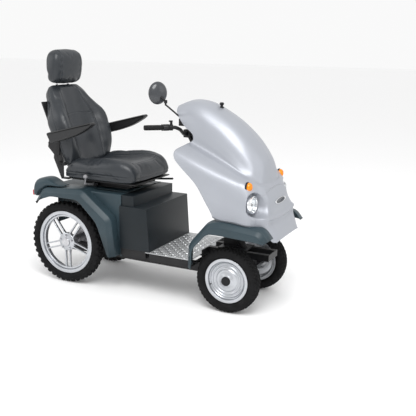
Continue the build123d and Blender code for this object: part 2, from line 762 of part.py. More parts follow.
def bar_tube():
    """One bent tube from grip to grip."""
    points = bar_corners(-1)[:0:-1] + bar_corners(1)[1:]
    path = FilletPolyline(*points, radius=28)
    start = Plane(origin=path @ 0, z_dir=path % 0)
    return sweep(start * Circle(bar_radius), path=path)


def handlebar():
    """The bar with a clamped housing by each grip."""
    bar = bar_tube()
    for side in (-1, 1):
        corner, end = bar_corners(side)[-2:]
        bar += rod(along(corner, end, 0.2), along(corner, end, 0.4), 20)
    return bar


def grips():
    """Rubber grips, each with a flange and a closed end."""
    corner, end = bar_corners(1)[-2:]
    a, b = along(corner, end, 0.42), along(corner, end, 1.03)
    grip = rod(a, b, 17) + rod(a, along(corner, end, 0.45), 21)
    return both_sides(grip - rod(a, end, bar_radius))


def throttle_lever():
    """Thumb lever that turns round the right end of the bar, next to its housing."""
    corner, end = bar_corners(-1)[-2:]
    a, b = along(corner, end, 0.08), along(corner, end, 0.19)
    ring = rod(a, b, 19)
    x, y, z = along(a, b, 0.5)
    paddle = block(x - 6, x + 6, y - 6, y + 6, z + 14, z + 34)
    paddle += block(x - 12, x + 6, y - 9, y + 9, z + 34, z + 42)
    return ring + paddle - rod(along(corner, end, 0), along(corner, end, 0.4), bar_radius + seat_gap)


mirror_turn = 32
mirror_pin_radius = 5


def mirror_stem():
    """Block on the right edge of the dash and the stem of the right mirror."""
    x, y, z = mirror_foot
    stem = block(x - 13, fx(-392), -96, -dash_half, z - 46, z - 2)
    stem += rod((x, y, z - 30), (x, y, z + 4), 8)
    x, y, z = mirror_neck
    knee = (x, y, z - 16)
    stem += rod(mirror_foot, knee, 5) + Pos(*knee) * Sphere(6)
    return stem + rod(knee, (x, y, z + 12), mirror_pin_radius)


def mirror_head():
    """Oval mirror shell with its glass facing the rider, and the hub that turns on the stem's pin."""
    x, y, z = mirror_neck
    face = Pos(x - 50, y, z + 50) * Rot(0, 0, -mirror_turn) * Rot(0, -90, 0)
    head = face * extrude(Ellipse(68, 62), amount=10)
    rings = [Plane.XY * Ellipse(44, 38), Plane.XY.offset(22) * Ellipse(68, 62)]
    back = face * Pos(0, 0, -22) * loft(rings, ruled=True)
    neck = rod((x - 36, y, z + 30), (x - 4, y, z + 4), 7) + rod((x, y, z - 8), (x, y, z + 12), 10)
    return head + back + neck - rod((x, y, z - 20), (x, y, z + 13), mirror_pin_radius + running_gap)


# ---------------------------------------------------------------- seat
def seat_swivel():
    """Stem, turning plate and the two lower rails."""
    x = rx(post_x)
    z0, z1 = sz(swivel_rise), sz(swivel_rise + 6)
    body = rod((x, 0, sz(-70)), (x, 0, z0), stem_radius)
    body += block(x - 170, x + 170, -150, 150, z0, z1)
    for y in (-120, 120):
        rail = block(rx(60), rx(440), y - 18, y + 18, z1, z1 + 14)
        body += rail - block(rx(50), rx(450), y - 14, y + 14, z1 + 3, z1 + 15)
    post = rx(178)
    body += block(post - 12, post + 12, -176, -150, z0, z1 + 16)
    return body - rod((post - 20, -168, z1 + 8), (post + 20, -168, z1 + 8), 4 + running_gap)


def swivel_lever():
    """Lever on the right that lets the seat turn, with a round grey knob."""
    x, z = rx(178), sz(swivel_rise + 14)
    pin = rod((x - 13, -168, z), (x + 13, -168, z), 4)
    knee, knob = (x - 14, -266, sz(60)), (x - 2, -277, sz(112))
    arm = block(x - 20, x - 13, -180, -160, z - 8, z + 8) + rod((x - 19, -177, z), knee, 5)
    return pin + arm + Pos(*knee) * Sphere(5) + rod(knee, knob, 5) + Pos(*knob) * Sphere(14)


pan_rise = 74                 # pan under the cushion, above the seat plate
slide_pivot_rise = 46
ear_foot = 20                 # length of the foot of the recline plates behind the cushion


def seat_carriage():
    """Upper rails, the pan under the cushion, and the side plates that hold the backrest."""
    body = block(rx(-10), rx(520), -225, 225, sz(pan_rise), sz(pan_rise + 8))
    for y in (-120, 120):
        body += block(rx(70), rx(430), y - 13.7, y + 13.7, sz(swivel_rise + 9.3), sz(pan_rise))
    x, z = recline_pivot
    back = cushion_sections[0][0] - 2
    plate = [(rx(x - 24), sz(z + 22)), (rx(x + 22), sz(z + 22)), (rx(back), sz(z - 60)),
             (rx(back), sz(pan_rise)), (rx(back - ear_foot), sz(pan_rise)), (rx(x - 32), sz(z - 40))]
    outer = cushion_half_width - 2
    ear = side_plate(plate, outer - 6, outer)
    ear += block(rx(back - ear_foot), rx(back + 40), 215, outer, sz(pan_rise), sz(pan_rise + 8))
    ear -= rod((rx(x), outer - 20, sz(z)), (rx(x), outer + 10, sz(z)), 10 + running_gap)
    return body + ear + other_side(ear) + slide_lever_bracket()


def slide_lever():
    """Ribbed bar under the front of the cushion that frees the rails."""
    x, y, z = rx(427), 190, sz(slide_pivot_rise)
    bar = rod((x, y, z), (x + 140, y, z + 14), 7) + rod((x, y - 34, z), (x, y + 20, z), 6)
    return bar


def slide_lever_bracket():
    """Ear under the pan that the slide lever turns in."""
    x, z = rx(427), sz(slide_pivot_rise)
    ear = block(x - 12, x + 12, 160, 168, z - 12, sz(pan_rise))
    return ear - rod((x, 150, z), (x, 230, z), 6 + running_gap)


# Cushion and back: half sections from the middle outwards, across by height above the pan or depth.
cushion_sections = [
    (-16, [(0, 118), (120, 118), (175, 122), (215, 132), (245, 124), (cushion_half_width, 100),
           (cushion_half_width - 6, 84), (0, 84)]),
    (60, [(0, 158), (120, 158), (175, 176), (215, 196), (245, 186), (cushion_half_width, 150),
          (cushion_half_width, 82), (0, 82)]),
    (320, [(0, 186), (120, 186), (175, 206), (215, 228), (245, 216), (cushion_half_width, 176),
           (cushion_half_width, 82), (0, 82)]),
    (460, [(0, 190), (120, 190), (175, 196), (215, 206), (240, 194), (cushion_half_width - 6, 160),
           (cushion_half_width - 6, 82), (0, 82)]),
    (520, [(0, 166), (120, 166), (170, 166), (198, 164), (214, 154), (cushion_half_width - 34, 130),
           (cushion_half_width - 36, 90), (0, 90)]),
]


def seat_cushion():
    """Seat cushion with raised side bolsters and a rounded front."""
    sections = [(rx(x), [(y, sz(z)) for y, z in half]) for x, half in cushion_sections]
    return mirrored_loft(sections)


headrest_post_x, headrest_post_y = -203, 60
back_foot = (18, 194)         # front face of the backrest at its foot, above the seat plate
back_length = 533


def on_back(up, out, across=0.0):
    """A point of the backrest: up along its lean, out in front of its face, across."""
    s, c = sin(radians(back_lean)), cos(radians(back_lean))
    return (rx(back_foot[0]) - s * up + c * out, across, sz(back_foot[1]) + c * up + s * out)


# Up the back: half width, bolster in front of the face, rear of the pad behind it.
back_sections = [
    (0, 214, 30, 62), (70, 238, 74, 84), (200, 245, 95, 88), (320, 242, 92, 88), (430, 214, 54, 80),
    (500, 168, 16, 70), (back_length, 140, -12, 48),
]


def back_ring(up, half, bolster, rear):
    """One section across the backrest."""
    side = [(0, half * 0.50), (bolster * 0.55, half * 0.70), (bolster, half * 0.86), (bolster * 0.75, half),
            (-rear * 0.6, half), (-rear, half * 0.86)]
    ring = [on_back(up, out, w) for out, w in side] + [on_back(up, out, -w) for out, w in reversed(side)]
    return make_face(Polyline(*ring, close=True))


def back_pad():
    """Backrest pad with side bolsters, narrowing to the top, bored for the headrest sockets."""
    pad = loft([back_ring(*section) for section in back_sections], ruled=True)
    for y in (-headrest_post_y, headrest_post_y):
        pad -= rod((rx(headrest_post_x), y, sz(490)), (rx(headrest_post_x), y, sz(760)), 9 + seat_gap)
        pad -= block(rx(headrest_post_x - 60), rx(headrest_post_x), y - 6, y + 6, sz(534), sz(556))
    return pad


def leaned(up0, up1, out0, out1, y0, y1):
    """A block square to the backrest."""
    corner = [on_back(up0, out0), on_back(up0, out1), on_back(up1, out1), on_back(up1, out0)]
    return side_plate([(x, z) for x, _, z in corner], y0, y1)


def back_frame():
    """Back shell with its arms down to the recline pivots, the armrest stubs and the headrest sockets."""
    body = leaned(60, 440, -98, -89, -190, 190)
    y0, y1 = cushion_half_width - 1.7, cushion_half_width + 5
    px, pz = recline_pivot
    ax, az = arm_pivot
    arm = [(rx(px - 20), sz(pz - 16)), (rx(px + 20), sz(pz - 16)), (rx(ax + 18), sz(az + 18)),
           (rx(ax - 62), sz(az + 30)), (rx(px - 70), sz(pz + 34))]
    side = side_plate(arm, y0, y1)
    side += leaned(130, 165, -98, -89, 189, y1)
    side += rod((rx(px), y0 - 7, sz(pz)), (rx(px), y0 + 1, sz(pz)), 10)
    side += rod((rx(ax), y1 - 1, sz(az)), (rx(ax), y1 + 22, sz(az)), 8)
    body += side + other_side(side)
    x = rx(headrest_post_x)
    for y in (-headrest_post_y, headrest_post_y):
        tube = rod((x, y, sz(500)), (x, y, sz(680)), 9)
        lug = block(x - 34, x, y - 5, y + 5, sz(535), sz(555))
        body += tube + lug
        body -= rod((x, y, sz(490)), (x, y, sz(700)), 6 + running_gap)
    return body


def headrest_posts():
    """Two steel posts that slide in the sockets of the back."""
    x = rx(headrest_post_x)
    return group(*(rod((x, y, sz(590)), (x, y, sz(800)), 6) for y in (-headrest_post_y, headrest_post_y)))


# Headrest, from its foot: height above the seat plate, half width, rear and front face from the axle.
headrest_sections = [(702, 112, -214, -160), (722, 136, -232, -136), (800, 144, -236, -122),
                     (872, 134, -224, -128), (905, 104, -204, -150)]


def headrest_pad():
    """Headrest cushion, wider than it is tall, with rounded edges, bored for its posts."""
    faces = []
    for z, half, rear, front in headrest_sections:
        side = [(front, half * 0.72), (front - 22, half), (rear + 22, half), (rear, half * 0.72)]
        ring = [(x, w) for x, w in side] + [(x, -w) for x, w in reversed(side)]
        faces.append(make_face(Polyline(*[(rx(x), w, sz(z)) for x, w in ring], close=True)))
    pad = loft(faces, ruled=True)
    for y in (-headrest_post_y, headrest_post_y):
        pad -= rod((rx(headrest_post_x), y, sz(690)), (rx(headrest_post_x), y, sz(800)), 6)
    return pad


armrest_inner, armrest_outer = 288, 345
armrest_outline = [(-84, 384), (-50, 321), (60, 350), (174, 391), (262, 444), (280, 462), (272, 474),
                   (120, 436)]


def armrest(side):
    """Armrest pad with the steel arm inside it and the boss it hinges on."""
    pad = side_plate([(rx(x), sz(z)) for x, z in armrest_outline], armrest_inner, armrest_outer)
    ax, az = arm_pivot
    x, z, y0 = rx(ax), sz(az), cushion_half_width + 5.3
    arm = rod((x, y0, z), (x, armrest_inner, z), 22)
    body = pad + arm - rod((x, y0 - 1, z), (x, y0 + 22, z), 8 + running_gap)
    return body if side > 0 else other_side(body)


def recline_lever():
    """Lever with a black knob, low on the right of the seat."""
    x, z = rx(-40), sz(180)
    y = -(cushion_half_width - 2 + seat_gap)
    hub = rod((x, y, z), (x, y - 16, z), 13)
    hub += block(x, x + 50, y - 14, y - 8, z - 6, z + 6)
    return hub + rod((x + 46, y - 8, z), (x + 46, y - 26, z), 12)


parts = {
    "main_frame": main_frame(),
    "seat_tower": seat_tower(),
    "front_subframe": front_subframe(),
    "gearbox": gearbox(),
    "drive_motor": drive_motor(),
    "freewheel_lever": freewheel_lever(),
    "batteries": batteries(),
    "motor_controller": motor_controller(),
    "footboard": footboard(),
    "footboard_sills": footboard_sills(),
    "battery_cover": battery_cover(),
    "rear_mudguards": rear_mudguards(),
    "rear_deck": rear_deck(),
    "tail_pods": tail_pods(),
    "tail_lamps": tail_lamps(),
    "front_mudguards": front_mudguards(),
    "hood": hood(),
    "nose": nose(),
    "headlamp_bowls": headlamp_bowls(),
    "headlamp_lenses": headlamp_lenses(),
    "indicator_lenses": indicator_lenses(),
    "badge": badge(),
    "dash_panel": dash_panel(),
    "key": key(),
    "speed_dial": speed_dial(),
    "horn_button": horn_button(),
    "light_switch": light_switch(),
    "hood_knob": hood_knob(),
    "charge_cap": charge_cap(),
    "steering_jacket": steering_jacket(),
    "axle_beam": axle_beam(),
    "knuckle_right": knuckle(-1),
    "knuckle_left": knuckle(1),
    "tie_rod": tie_rod(),
    "steering_shaft": steering_shaft(),
    "handlebar": handlebar(),
    "grips": grips(),
    "throttle_lever": throttle_lever(),
    "mirror_stem": mirror_stem(),
    "mirror_head": mirror_head(),
    "seat_swivel": seat_swivel(),
    "swivel_lever": swivel_lever(),
    "seat_carriage": seat_carriage(),
    "slide_lever": slide_lever(),
    "seat_cushion": seat_cushion(),
    "back_frame": back_frame(),
    "back_pad": back_pad(),
    "headrest_posts": headrest_posts(),
    "headrest_pad": headrest_pad(),
    "armrest_right": armrest(-1),
    "armrest_left": armrest(1),
    "recline_lever": recline_lever(),
}
for side, name in ((-1, "right"), (1, "left")):
    parts["tyre_rear_" + name] = tyre_ring(rear_axle_x, rear_tyre_radius, side * rear_tyre_y,
                                           rear_tyre_radius, rear_tyre_width, rear_rim_radius,
                                           rear_rim_width)
    parts["rim_rear_" + name] = rear_wheel(side)
    parts["tyre_front_" + name] = tyre_ring(front_axle_x, front_tyre_radius, side * front_tyre_y,
                                            front_tyre_radius, front_tyre_width, front_rim_radius,
                                            front_rim_width)
    parts["rim_front_" + name] = front_wheel(side)

os.makedirs("parts", exist_ok=True)
for name, shape in parts.items():
    export_step(shape, f"parts/{name}.step")
    print(name, len(shape.solids()), round(shape.volume), shape.is_valid)
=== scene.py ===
"""Looks of a four-wheel all-terrain mobility scooter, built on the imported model.

Metres throughout: +X forward, +Y to the rider's left, +Z up, origin on the ground.
"""
import math

import bmesh
import bpy
import numpy as np
from mathutils import Matrix, Vector


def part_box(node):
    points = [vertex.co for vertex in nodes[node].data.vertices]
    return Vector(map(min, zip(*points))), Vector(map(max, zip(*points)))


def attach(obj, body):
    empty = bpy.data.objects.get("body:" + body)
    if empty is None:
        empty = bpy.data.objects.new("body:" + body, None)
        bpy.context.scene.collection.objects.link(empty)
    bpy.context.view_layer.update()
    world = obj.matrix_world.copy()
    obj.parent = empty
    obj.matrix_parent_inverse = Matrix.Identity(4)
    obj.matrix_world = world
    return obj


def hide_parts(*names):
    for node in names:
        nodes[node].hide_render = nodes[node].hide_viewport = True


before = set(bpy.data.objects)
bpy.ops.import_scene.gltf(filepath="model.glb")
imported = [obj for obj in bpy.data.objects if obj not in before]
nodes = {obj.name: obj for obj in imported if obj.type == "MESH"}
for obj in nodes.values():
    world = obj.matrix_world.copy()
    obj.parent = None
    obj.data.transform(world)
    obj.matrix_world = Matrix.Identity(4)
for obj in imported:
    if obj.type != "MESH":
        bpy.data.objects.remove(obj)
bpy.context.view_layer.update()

MM = 0.001
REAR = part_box("tyre_rear_right")
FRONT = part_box("tyre_front_right")
REAR_X = (REAR[0].x + REAR[1].x) / 2
REAR_Z = (REAR[0].z + REAR[1].z) / 2
FRONT_X = (FRONT[0].x + FRONT[1].x) / 2
FRONT_Z = (FRONT[0].z + FRONT[1].z) / 2
HALF_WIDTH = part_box("rear_mudguards")[1].y
SEAT_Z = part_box("rear_deck")[1].z - 19 * MM
WHEEL_Y = {"front": HALF_WIDTH / MM - 109, "rear": HALF_WIDTH / MM - 90}

# ---------------------------------------------------------------- camera, light and floor
CAMERA_AT = (2.1405, -3.728, 1.572)
CAMERA_AZIMUTH, CAMERA_ELEVATION, CAMERA_ROLL = (math.radians(a) for a in (25.91, 13.57, 0.96))
LENS_MM = 57.2


def add_camera():
    """Camera looking along a direction given by azimuth and elevation, rolled about its own axis."""
    forward = Vector((-math.sin(CAMERA_AZIMUTH) * math.cos(CAMERA_ELEVATION),
                      math.cos(CAMERA_AZIMUTH) * math.cos(CAMERA_ELEVATION), -math.sin(CAMERA_ELEVATION)))
    right = forward.cross(Vector((0, 0, 1))).normalized()
    up = right.cross(forward)
    c, s = math.cos(CAMERA_ROLL), math.sin(CAMERA_ROLL)
    axes = Matrix((c * right + s * up, c * up - s * right, -forward)).transposed()
    camera = bpy.data.objects.new("camera", bpy.data.cameras.new("camera"))
    camera.data.lens = LENS_MM
    camera.matrix_world = Matrix.Translation(CAMERA_AT) @ axes.to_4x4()
    bpy.context.scene.collection.objects.link(camera)
    bpy.context.scene.camera = camera


def add_light(name, place, target, size, watts, colour=(1, 1, 1)):
    """A square soft box that faces its target."""
    light = bpy.data.lights.new(name, "AREA")
    light.size, light.energy, light.color = size, watts, colour
    lamp = bpy.data.objects.new(name, light)
    lamp.location = place
    lamp.rotation_euler = (Vector(target) - Vector(place)).to_track_quat("-Z", "Y").to_euler()
    bpy.context.scene.collection.objects.link(lamp)


def add_studio():
    """Pale floor, pale surround and three soft boxes."""
    world = bpy.data.worlds.new("surround")
    world.use_nodes = True
    sky = world.node_tree.nodes["Background"]
    sky.inputs["Color"].default_value = (1.0, 1.0, 1.0, 1)
    sky.inputs["Strength"].default_value = 0.95
    bpy.context.scene.world = world
    bpy.context.scene.view_settings.view_transform = "Standard"
    add_light("key", (1.6, -2.6, 4.2), (0, 0, 0.6), 2.6, 150)
    add_light("fill", (-3.5, -2.5, 2.4), (0, 0, 0.7), 2.5, 25)
    add_light("front", (4.2, 0.6, 2.4), (0.3, 0, 0.7), 2.6, 14)
    floor = surface("floor", plane_grid(60, 60))
    paint(floor, plain("floor_white", (0.96, 0.96, 0.96), 0.85))


# ---------------------------------------------------------------- mesh making
def surface(name, grid, close_u=False, close_v=False, smooth=True):
    """A mesh of quads over a grid of points, rows by columns by 3; a closed direction joins its ends."""
    rows, columns = grid.shape[:2]
    index = np.arange(rows * columns).reshape(rows, columns)
    if close_u:
        index = np.vstack([index, index[:1]])
    if close_v:
        index = np.hstack([index, index[:, :1]])
    quads = np.stack([index[:-1, :-1], index[1:, :-1], index[1:, 1:], index[:-1, 1:]], -1).reshape(-1, 4)
    return mesh_object(name, grid.reshape(-1, 3), quads, smooth)


def mesh_object(name, points, faces, smooth=True):
    """An object at the origin from points and equal-sided faces."""
    mesh = bpy.data.meshes.new(name)
    faces = np.asarray(faces)
    mesh.vertices.add(len(points))
    mesh.vertices.foreach_set("co", np.asarray(points, np.float32).ravel())
    count, sides = faces.shape
    mesh.loops.add(count * sides)
    mesh.loops.foreach_set("vertex_index", faces.ravel().astype(np.int32))
    mesh.polygons.add(count)
    mesh.polygons.foreach_set("loop_start", np.arange(0, count * sides, sides, dtype=np.int32))
    mesh.polygons.foreach_set("use_smooth", np.full(count, smooth))
    mesh.update(calc_edges=True)
    mesh.validate()
    made = bpy.data.objects.new(name, mesh)
    bpy.context.scene.collection.objects.link(made)
    return made


def plane_grid(x, y):
    """A flat square grid at floor height."""
    u, v = np.meshgrid(np.linspace(-x, x, 3), np.linspace(-y, y, 3), indexing="ij")
    return np.stack([u, v, np.full_like(u, -0.0005)], -1)


def through(points, steps):
    """A smooth line or sheet through points along axis 0: cubic Hermite pieces over chord length, whose
    slope at a point is the mean of the chords beside it, weighted to the shorter one."""
    p = np.asarray(points, float)
    flat = p.reshape(len(p), -1)
    chord = np.sqrt(((flat[1:] - flat[:-1]) ** 2).sum(1)) ** 0.5 + 1e-9
    t = np.concatenate([[0], np.cumsum(chord)])
    secant = (flat[1:] - flat[:-1]) / chord[:, None]
    slope = np.empty_like(flat)
    w = chord[1:, None] / (chord[1:] + chord[:-1])[:, None]
    slope[1:-1] = secant[:-1] * w + secant[1:] * (1 - w)
    slope[0], slope[-1] = secant[0], secant[-1]
    u = np.concatenate([np.linspace(a, b, steps, endpoint=False) for a, b in zip(t[:-1], t[1:])] + [t[-1:]])
    k = np.clip(np.searchsorted(t, u, side="right") - 1, 0, len(p) - 2)
    h = chord[k][:, None]
    s = ((u - t[k]) / chord[k])[:, None]
    out = ((2 * s**3 - 3 * s**2 + 1) * flat[k] + (s**3 - 2 * s**2 + s) * h * slope[k]
           + (3 * s**2 - 2 * s**3) * flat[k + 1] + (s**3 - s**2) * h * slope[k + 1])
    return out.reshape((len(u),) + p.shape[1:])


def sheet_through(grid, steps_u, steps_v):
    """A smooth sheet through a grid of points, rows first and then columns."""
    rows = through(grid, steps_u)
    return through(rows.transpose(1, 0, 2), steps_v).transpose(1, 0, 2)


def rounded(points, radius, steps=5, closed=True):
    """A polyline with each corner replaced by a quadratic arc that starts radius away from it."""
    p = np.asarray(points, float)
    if closed:
        before, after = np.roll(p, 1, 0), np.roll(p, -1, 0)
    else:
        before, after, p = p[:-2], p[2:], p[1:-1]
    into, out = before - p, after - p
    li, lo = np.linalg.norm(into, axis=1), np.linalg.norm(out, axis=1)
    r = np.minimum(np.broadcast_to(radius, li.shape), np.minimum(li, lo) * 0.48)
    a, b = p + into / li[:, None] * r[:, None], p + out / lo[:, None] * r[:, None]
    s = np.linspace(0, 1, steps)[None, :, None]
    arcs = ((1 - s)**2 * a[:, None] + 2 * s * (1 - s) * p[:, None] + s**2 * b[:, None]).reshape(-1, p.shape[1])
    if closed:
        return arcs
    q = np.asarray(points, float)
    return np.vstack([q[:1], arcs, q[-1:]])


def revolve(name, profile, centre, segments, axis="y"):
    """A profile of (along, radius) turned about an axis through centre. Closed both ways."""
    p = np.asarray(profile, float)
    turn = np.linspace(0, 2 * np.pi, segments, endpoint=False)[:, None]
    along = np.broadcast_to(p[:, 0], (segments, len(p)))
    a, b = np.cos(turn) * p[:, 1], np.sin(turn) * p[:, 1]
    grid = {"y": (a, along, b), "x": (along, b, a), "z": (b, a, along)}[axis]
    return surface(name, np.stack(grid, -1) + np.asarray(centre), close_u=True, close_v=True)


def squared(wave, power):
    """A sine or cosine drawn towards a square wave: its size raised to a power below 1, its sign kept."""
    return np.sign(wave) * np.abs(wave) ** power


def tube(name, path, radius, sides=20):
    """A round tube along a path, with closed ends: rings square to the path's direction, of a radius that may
    vary along it."""
    p = np.asarray(path, float)
    forward = np.gradient(p, axis=0)
    forward /= np.linalg.norm(forward, axis=1)[:, None]
    mean = forward.mean(0)
    helper = np.eye(3)[np.argmin(np.abs(mean))]
    side = np.cross(forward, helper)
    side /= np.linalg.norm(side, axis=1)[:, None]
    up = np.cross(side, forward)
    r = np.broadcast_to(np.asarray(radius, float), (len(p),)).copy()
    p, side, up = (np.vstack([q[:1], q, q[-1:]]) for q in (p, side, up))
    r = np.concatenate([[1e-5], r, [1e-5]])
    turn = np.linspace(0, 2 * np.pi, sides, endpoint=False)
    ring = side[:, None] * np.cos(turn)[None, :, None] + up[:, None] * np.sin(turn)[None, :, None]
    return surface(name, p[:, None] + ring * r[:, None, None], close_v=True)


def prism(name, outline, low, high, edge, axis="y", steps=4):
    """A closed outline carried across from low to high, with quarter-round edges of a given radius."""
    o = np.asarray(outline, float)
    ahead, behind = np.roll(o, -1, 0), np.roll(o, 1, 0)
    run = ahead - behind
    normal = np.stack([run[:, 1], -run[:, 0]], 1) / (np.linalg.norm(run, axis=1)[:, None] + 1e-12)
    area = np.sum(o[:, 0] * ahead[:, 1] - ahead[:, 0] * o[:, 1])
    normal *= np.sign(area)
    q = np.linspace(0, np.pi / 2, steps)
    inset = np.concatenate([edge * (1 - np.sin(q)), edge * (1 - np.sin(q[::-1]))])
    place = np.concatenate([low + edge * (1 - np.cos(q)), high - edge * (1 - np.cos(q[::-1]))])
    rings = o[None] - normal[None] * inset[:, None, None]
    layers = np.broadcast_to(place[:, None], rings.shape[:2])
    grid = {"y": (rings[..., 0], layers, rings[..., 1]), "x": (layers, rings[..., 0], rings[..., 1]),
            "z": (rings[..., 0], rings[..., 1], layers)}[axis]
    grid = np.stack(grid, -1)
    made = surface(name, grid, close_v=True)
    cap_ends(made, len(place), len(o))
    return made


def cap_ends(obj, rows, columns):
    """Closes the first and last ring of a tube-like grid with one face each, and turns faces outwards."""
    bm = bmesh.new()
    bm.from_mesh(obj.data)
    bm.verts.ensure_lookup_table()
    first = [bm.verts[i] for i in range(columns)]
    last = [bm.verts[(rows - 1) * columns + i] for i in range(columns)]
    bm.faces.new(first)
    bm.faces.new(last[::-1])
    bmesh.ops.recalc_face_normals(bm, faces=bm.faces)
    bm.to_mesh(obj.data)
    bm.free()


def outward(obj):
    """Turns a closed mesh so that its faces point outwards."""
    bm = bmesh.new()
    bm.from_mesh(obj.data)
    bmesh.ops.recalc_face_normals(bm, faces=bm.faces)
    bm.to_mesh(obj.data)
    bm.free()
    return obj


def join(name, pieces):
    """Several meshes as one."""
    bpy.ops.object.select_all(action="DESELECT")
    for piece in pieces:
        piece.select_set(True)
    bpy.context.view_layer.objects.active = pieces[0]
    bpy.ops.object.join()
    pieces[0].name = pieces[0].data.name = name
    return pieces[0]


def mirrored(name, obj):
    """A copy on the other side of the centre plane, with its faces still outwards."""
    copy = obj.copy()
    copy.data = obj.data.copy()
    copy.name = copy.data.name = name
    copy.data.transform(Matrix.Diagonal((1, -1, 1, 1)))
    copy.data.flip_normals()
    bpy.context.scene.collection.objects.link(copy)
    return copy


def finish_mesh(obj):
    """Applies the modifiers to the mesh."""
    graph = bpy.context.evaluated_depsgraph_get()
    done = bpy.data.meshes.new_from_object(obj.evaluated_get(graph))
    obj.modifiers.clear()
    obj.data = done
    return obj


def wall(obj, thickness):
    """Gives a sheet a wall on its inner side."""
    solid = obj.modifiers.new("wall", "SOLIDIFY")
    solid.thickness, solid.offset = thickness, -1
    return obj


def soften(obj, width, segments, angle):
    """Rounds the edges sharper than an angle."""
    edge = obj.modifiers.new("edges", "BEVEL")
    edge.width, edge.segments, edge.limit_method = width, segments, "ANGLE"
    edge.angle_limit = math.radians(angle)


def softened_copy(node, width, segments):
    """A copy of a CAD node, merged into one closed mesh, with its sharp edges rounded."""
    source = nodes[node]
    copy = source.copy()
    copy.data = source.data.copy()
    copy.parent = None
    copy.matrix_world = Matrix.Identity(4)
    for key in list(copy.keys()):
        del copy[key]
    copy.name = copy.data.name = node + "_soft"
    bpy.context.scene.collection.objects.link(copy)
    bm = bmesh.new()
    bm.from_mesh(copy.data)
    bmesh.ops.remove_doubles(bm, verts=bm.verts, dist=1e-6)
    bmesh.ops.dissolve_limit(bm, angle_limit=math.radians(1), verts=bm.verts, edges=bm.edges)
    for face in bm.faces:
        face.smooth = True
    bm.to_mesh(copy.data)
    bm.free()
    soften(copy, width, segments, 25)
    return copy


def piece(obj, body, finish, slot, stands_for=None):
    """Paints a piece, lets it ride on a body, and hides the CAD node it stands for, if any."""
    paint(obj, finish)
    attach(obj, body)
    if stands_for:
        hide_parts(stands_for)


def both_sides(left, body, finish, slot, stands_for=None):
    """A left piece and its mirror image on the right, of which the left one stands for a CAD node."""
    piece(mirrored(left.name.replace("left", "right"), left), body, finish, slot)
    piece(left, body, finish, slot, stands_for)


# ---------------------------------------------------------------- finishes
def paint(obj, material):
    """Puts one material on an object."""
    obj.data.materials.clear()
    obj.data.materials.append(material)


def plain(name, colour, rough, metal=0.0, coat=0.0):
    """A bare material, to which a finish adds its pattern."""
    material = bpy.data.materials.new(name)
    material.use_nodes = True
    shader = material.node_tree.nodes["Principled BSDF"]
    shader.inputs["Base Color"].default_value = (*colour, 1)
    shader.inputs["Roughness"].default_value = rough
    shader.inputs["Metallic"].default_value = metal
    shader.inputs["Coat Weight"].default_value = coat
    shader.inputs["Coat Roughness"].default_value = 0.08
    return material


def add_node(material, kind, **values):
    """A shader node with values on its own sockets; an underscore stands for a space in a socket's name."""
    made = material.node_tree.nodes.new("ShaderNode" + kind)
    for socket, value in values.items():
        made.inputs[socket.replace("_", " ")].default_value = value
    return made


def textured(name, colour, rough, metal=0.0, coat=0.0, shade=0.12, blotch=6.0, grain=900.0, bump=0.08,
             bump_depth=0.0004, rough_spread=0.06):
    """A finish with slow colour drift, a fine grain in its roughness and a fine bump, on Object coordinates."""
    material = plain(name, colour, rough, metal, coat)
    link = material.node_tree.links.new
    shader = material.node_tree.nodes["Principled BSDF"]
    place = add_node(material, "TexCoord")
    slow = add_node(material, "TexNoise", Scale=blotch, Detail=4)
    fine = add_node(material, "TexNoise", Scale=grain, Detail=3)
    for noise in (slow, fine):
        link(place.outputs["Object"], noise.inputs["Vector"])
    ramp = add_node(material, "ValToRGB")
    dark, light = ramp.color_ramp.elements
    dark.position, light.position = 0.3, 0.7
    dark.color = (*[c * (1 - shade) for c in colour], 1)
    light.color = (*[min(1, c * (1 + shade)) for c in colour], 1)
    link(slow.outputs["Fac"], ramp.inputs["Fac"])
    link(ramp.outputs["Color"], shader.inputs["Base Color"])
    spread = add_node(material, "MapRange", To_Min=max(0.02, rough - rough_spread),
                      To_Max=min(1.0, rough + rough_spread))
    link(fine.outputs["Fac"], spread.inputs["Value"])
    link(spread.outputs["Result"], shader.inputs["Roughness"])
    if bump:
        raised = add_node(material, "Bump", Strength=bump, Distance=bump_depth)
        link(fine.outputs["Fac"], raised.inputs["Height"])
        link(raised.outputs["Normal"], shader.inputs["Normal"])
    return material


def leathery(name, colour, rough):
    """Vinyl with a pebbled grain: fine cells and slower wrinkles pressed into the surface, one over the other."""
    material = textured(name, colour, rough, shade=0.10, blotch=9, grain=420, bump=0.0)
    link = material.node_tree.links.new
    place = add_node(material, "TexCoord")
    cells = add_node(material, "TexVoronoi", Scale=420)
    wrinkle = add_node(material, "TexNoise", Scale=60, Detail=5)
    for texture in (cells, wrinkle):
        link(place.outputs["Object"], texture.inputs["Vector"])
    pebbled = add_node(material, "Bump", Strength=0.35, Distance=0.0004)
    wrinkled = add_node(material, "Bump", Strength=0.20, Distance=0.0012)
    link(cells.outputs["Distance"], pebbled.inputs["Height"])
    link(wrinkle.outputs["Fac"], wrinkled.inputs["Height"])
    link(pebbled.outputs["Normal"], wrinkled.inputs["Normal"])
    link(wrinkled.outputs["Normal"], material.node_tree.nodes["Principled BSDF"].inputs["Normal"])
    return material


def see_through(name, colour, rough, clear):
    """A lens: a glossy finish that lets light through."""
    material = textured(name, colour, rough, shade=0.02, blotch=40, grain=500, bump=0.05, rough_spread=0.01)
    shader = material.node_tree.nodes["Principled BSDF"]
    shader.inputs["Transmission Weight"].default_value = clear
    shader.inputs["IOR"].default_value = 1.45
    return material


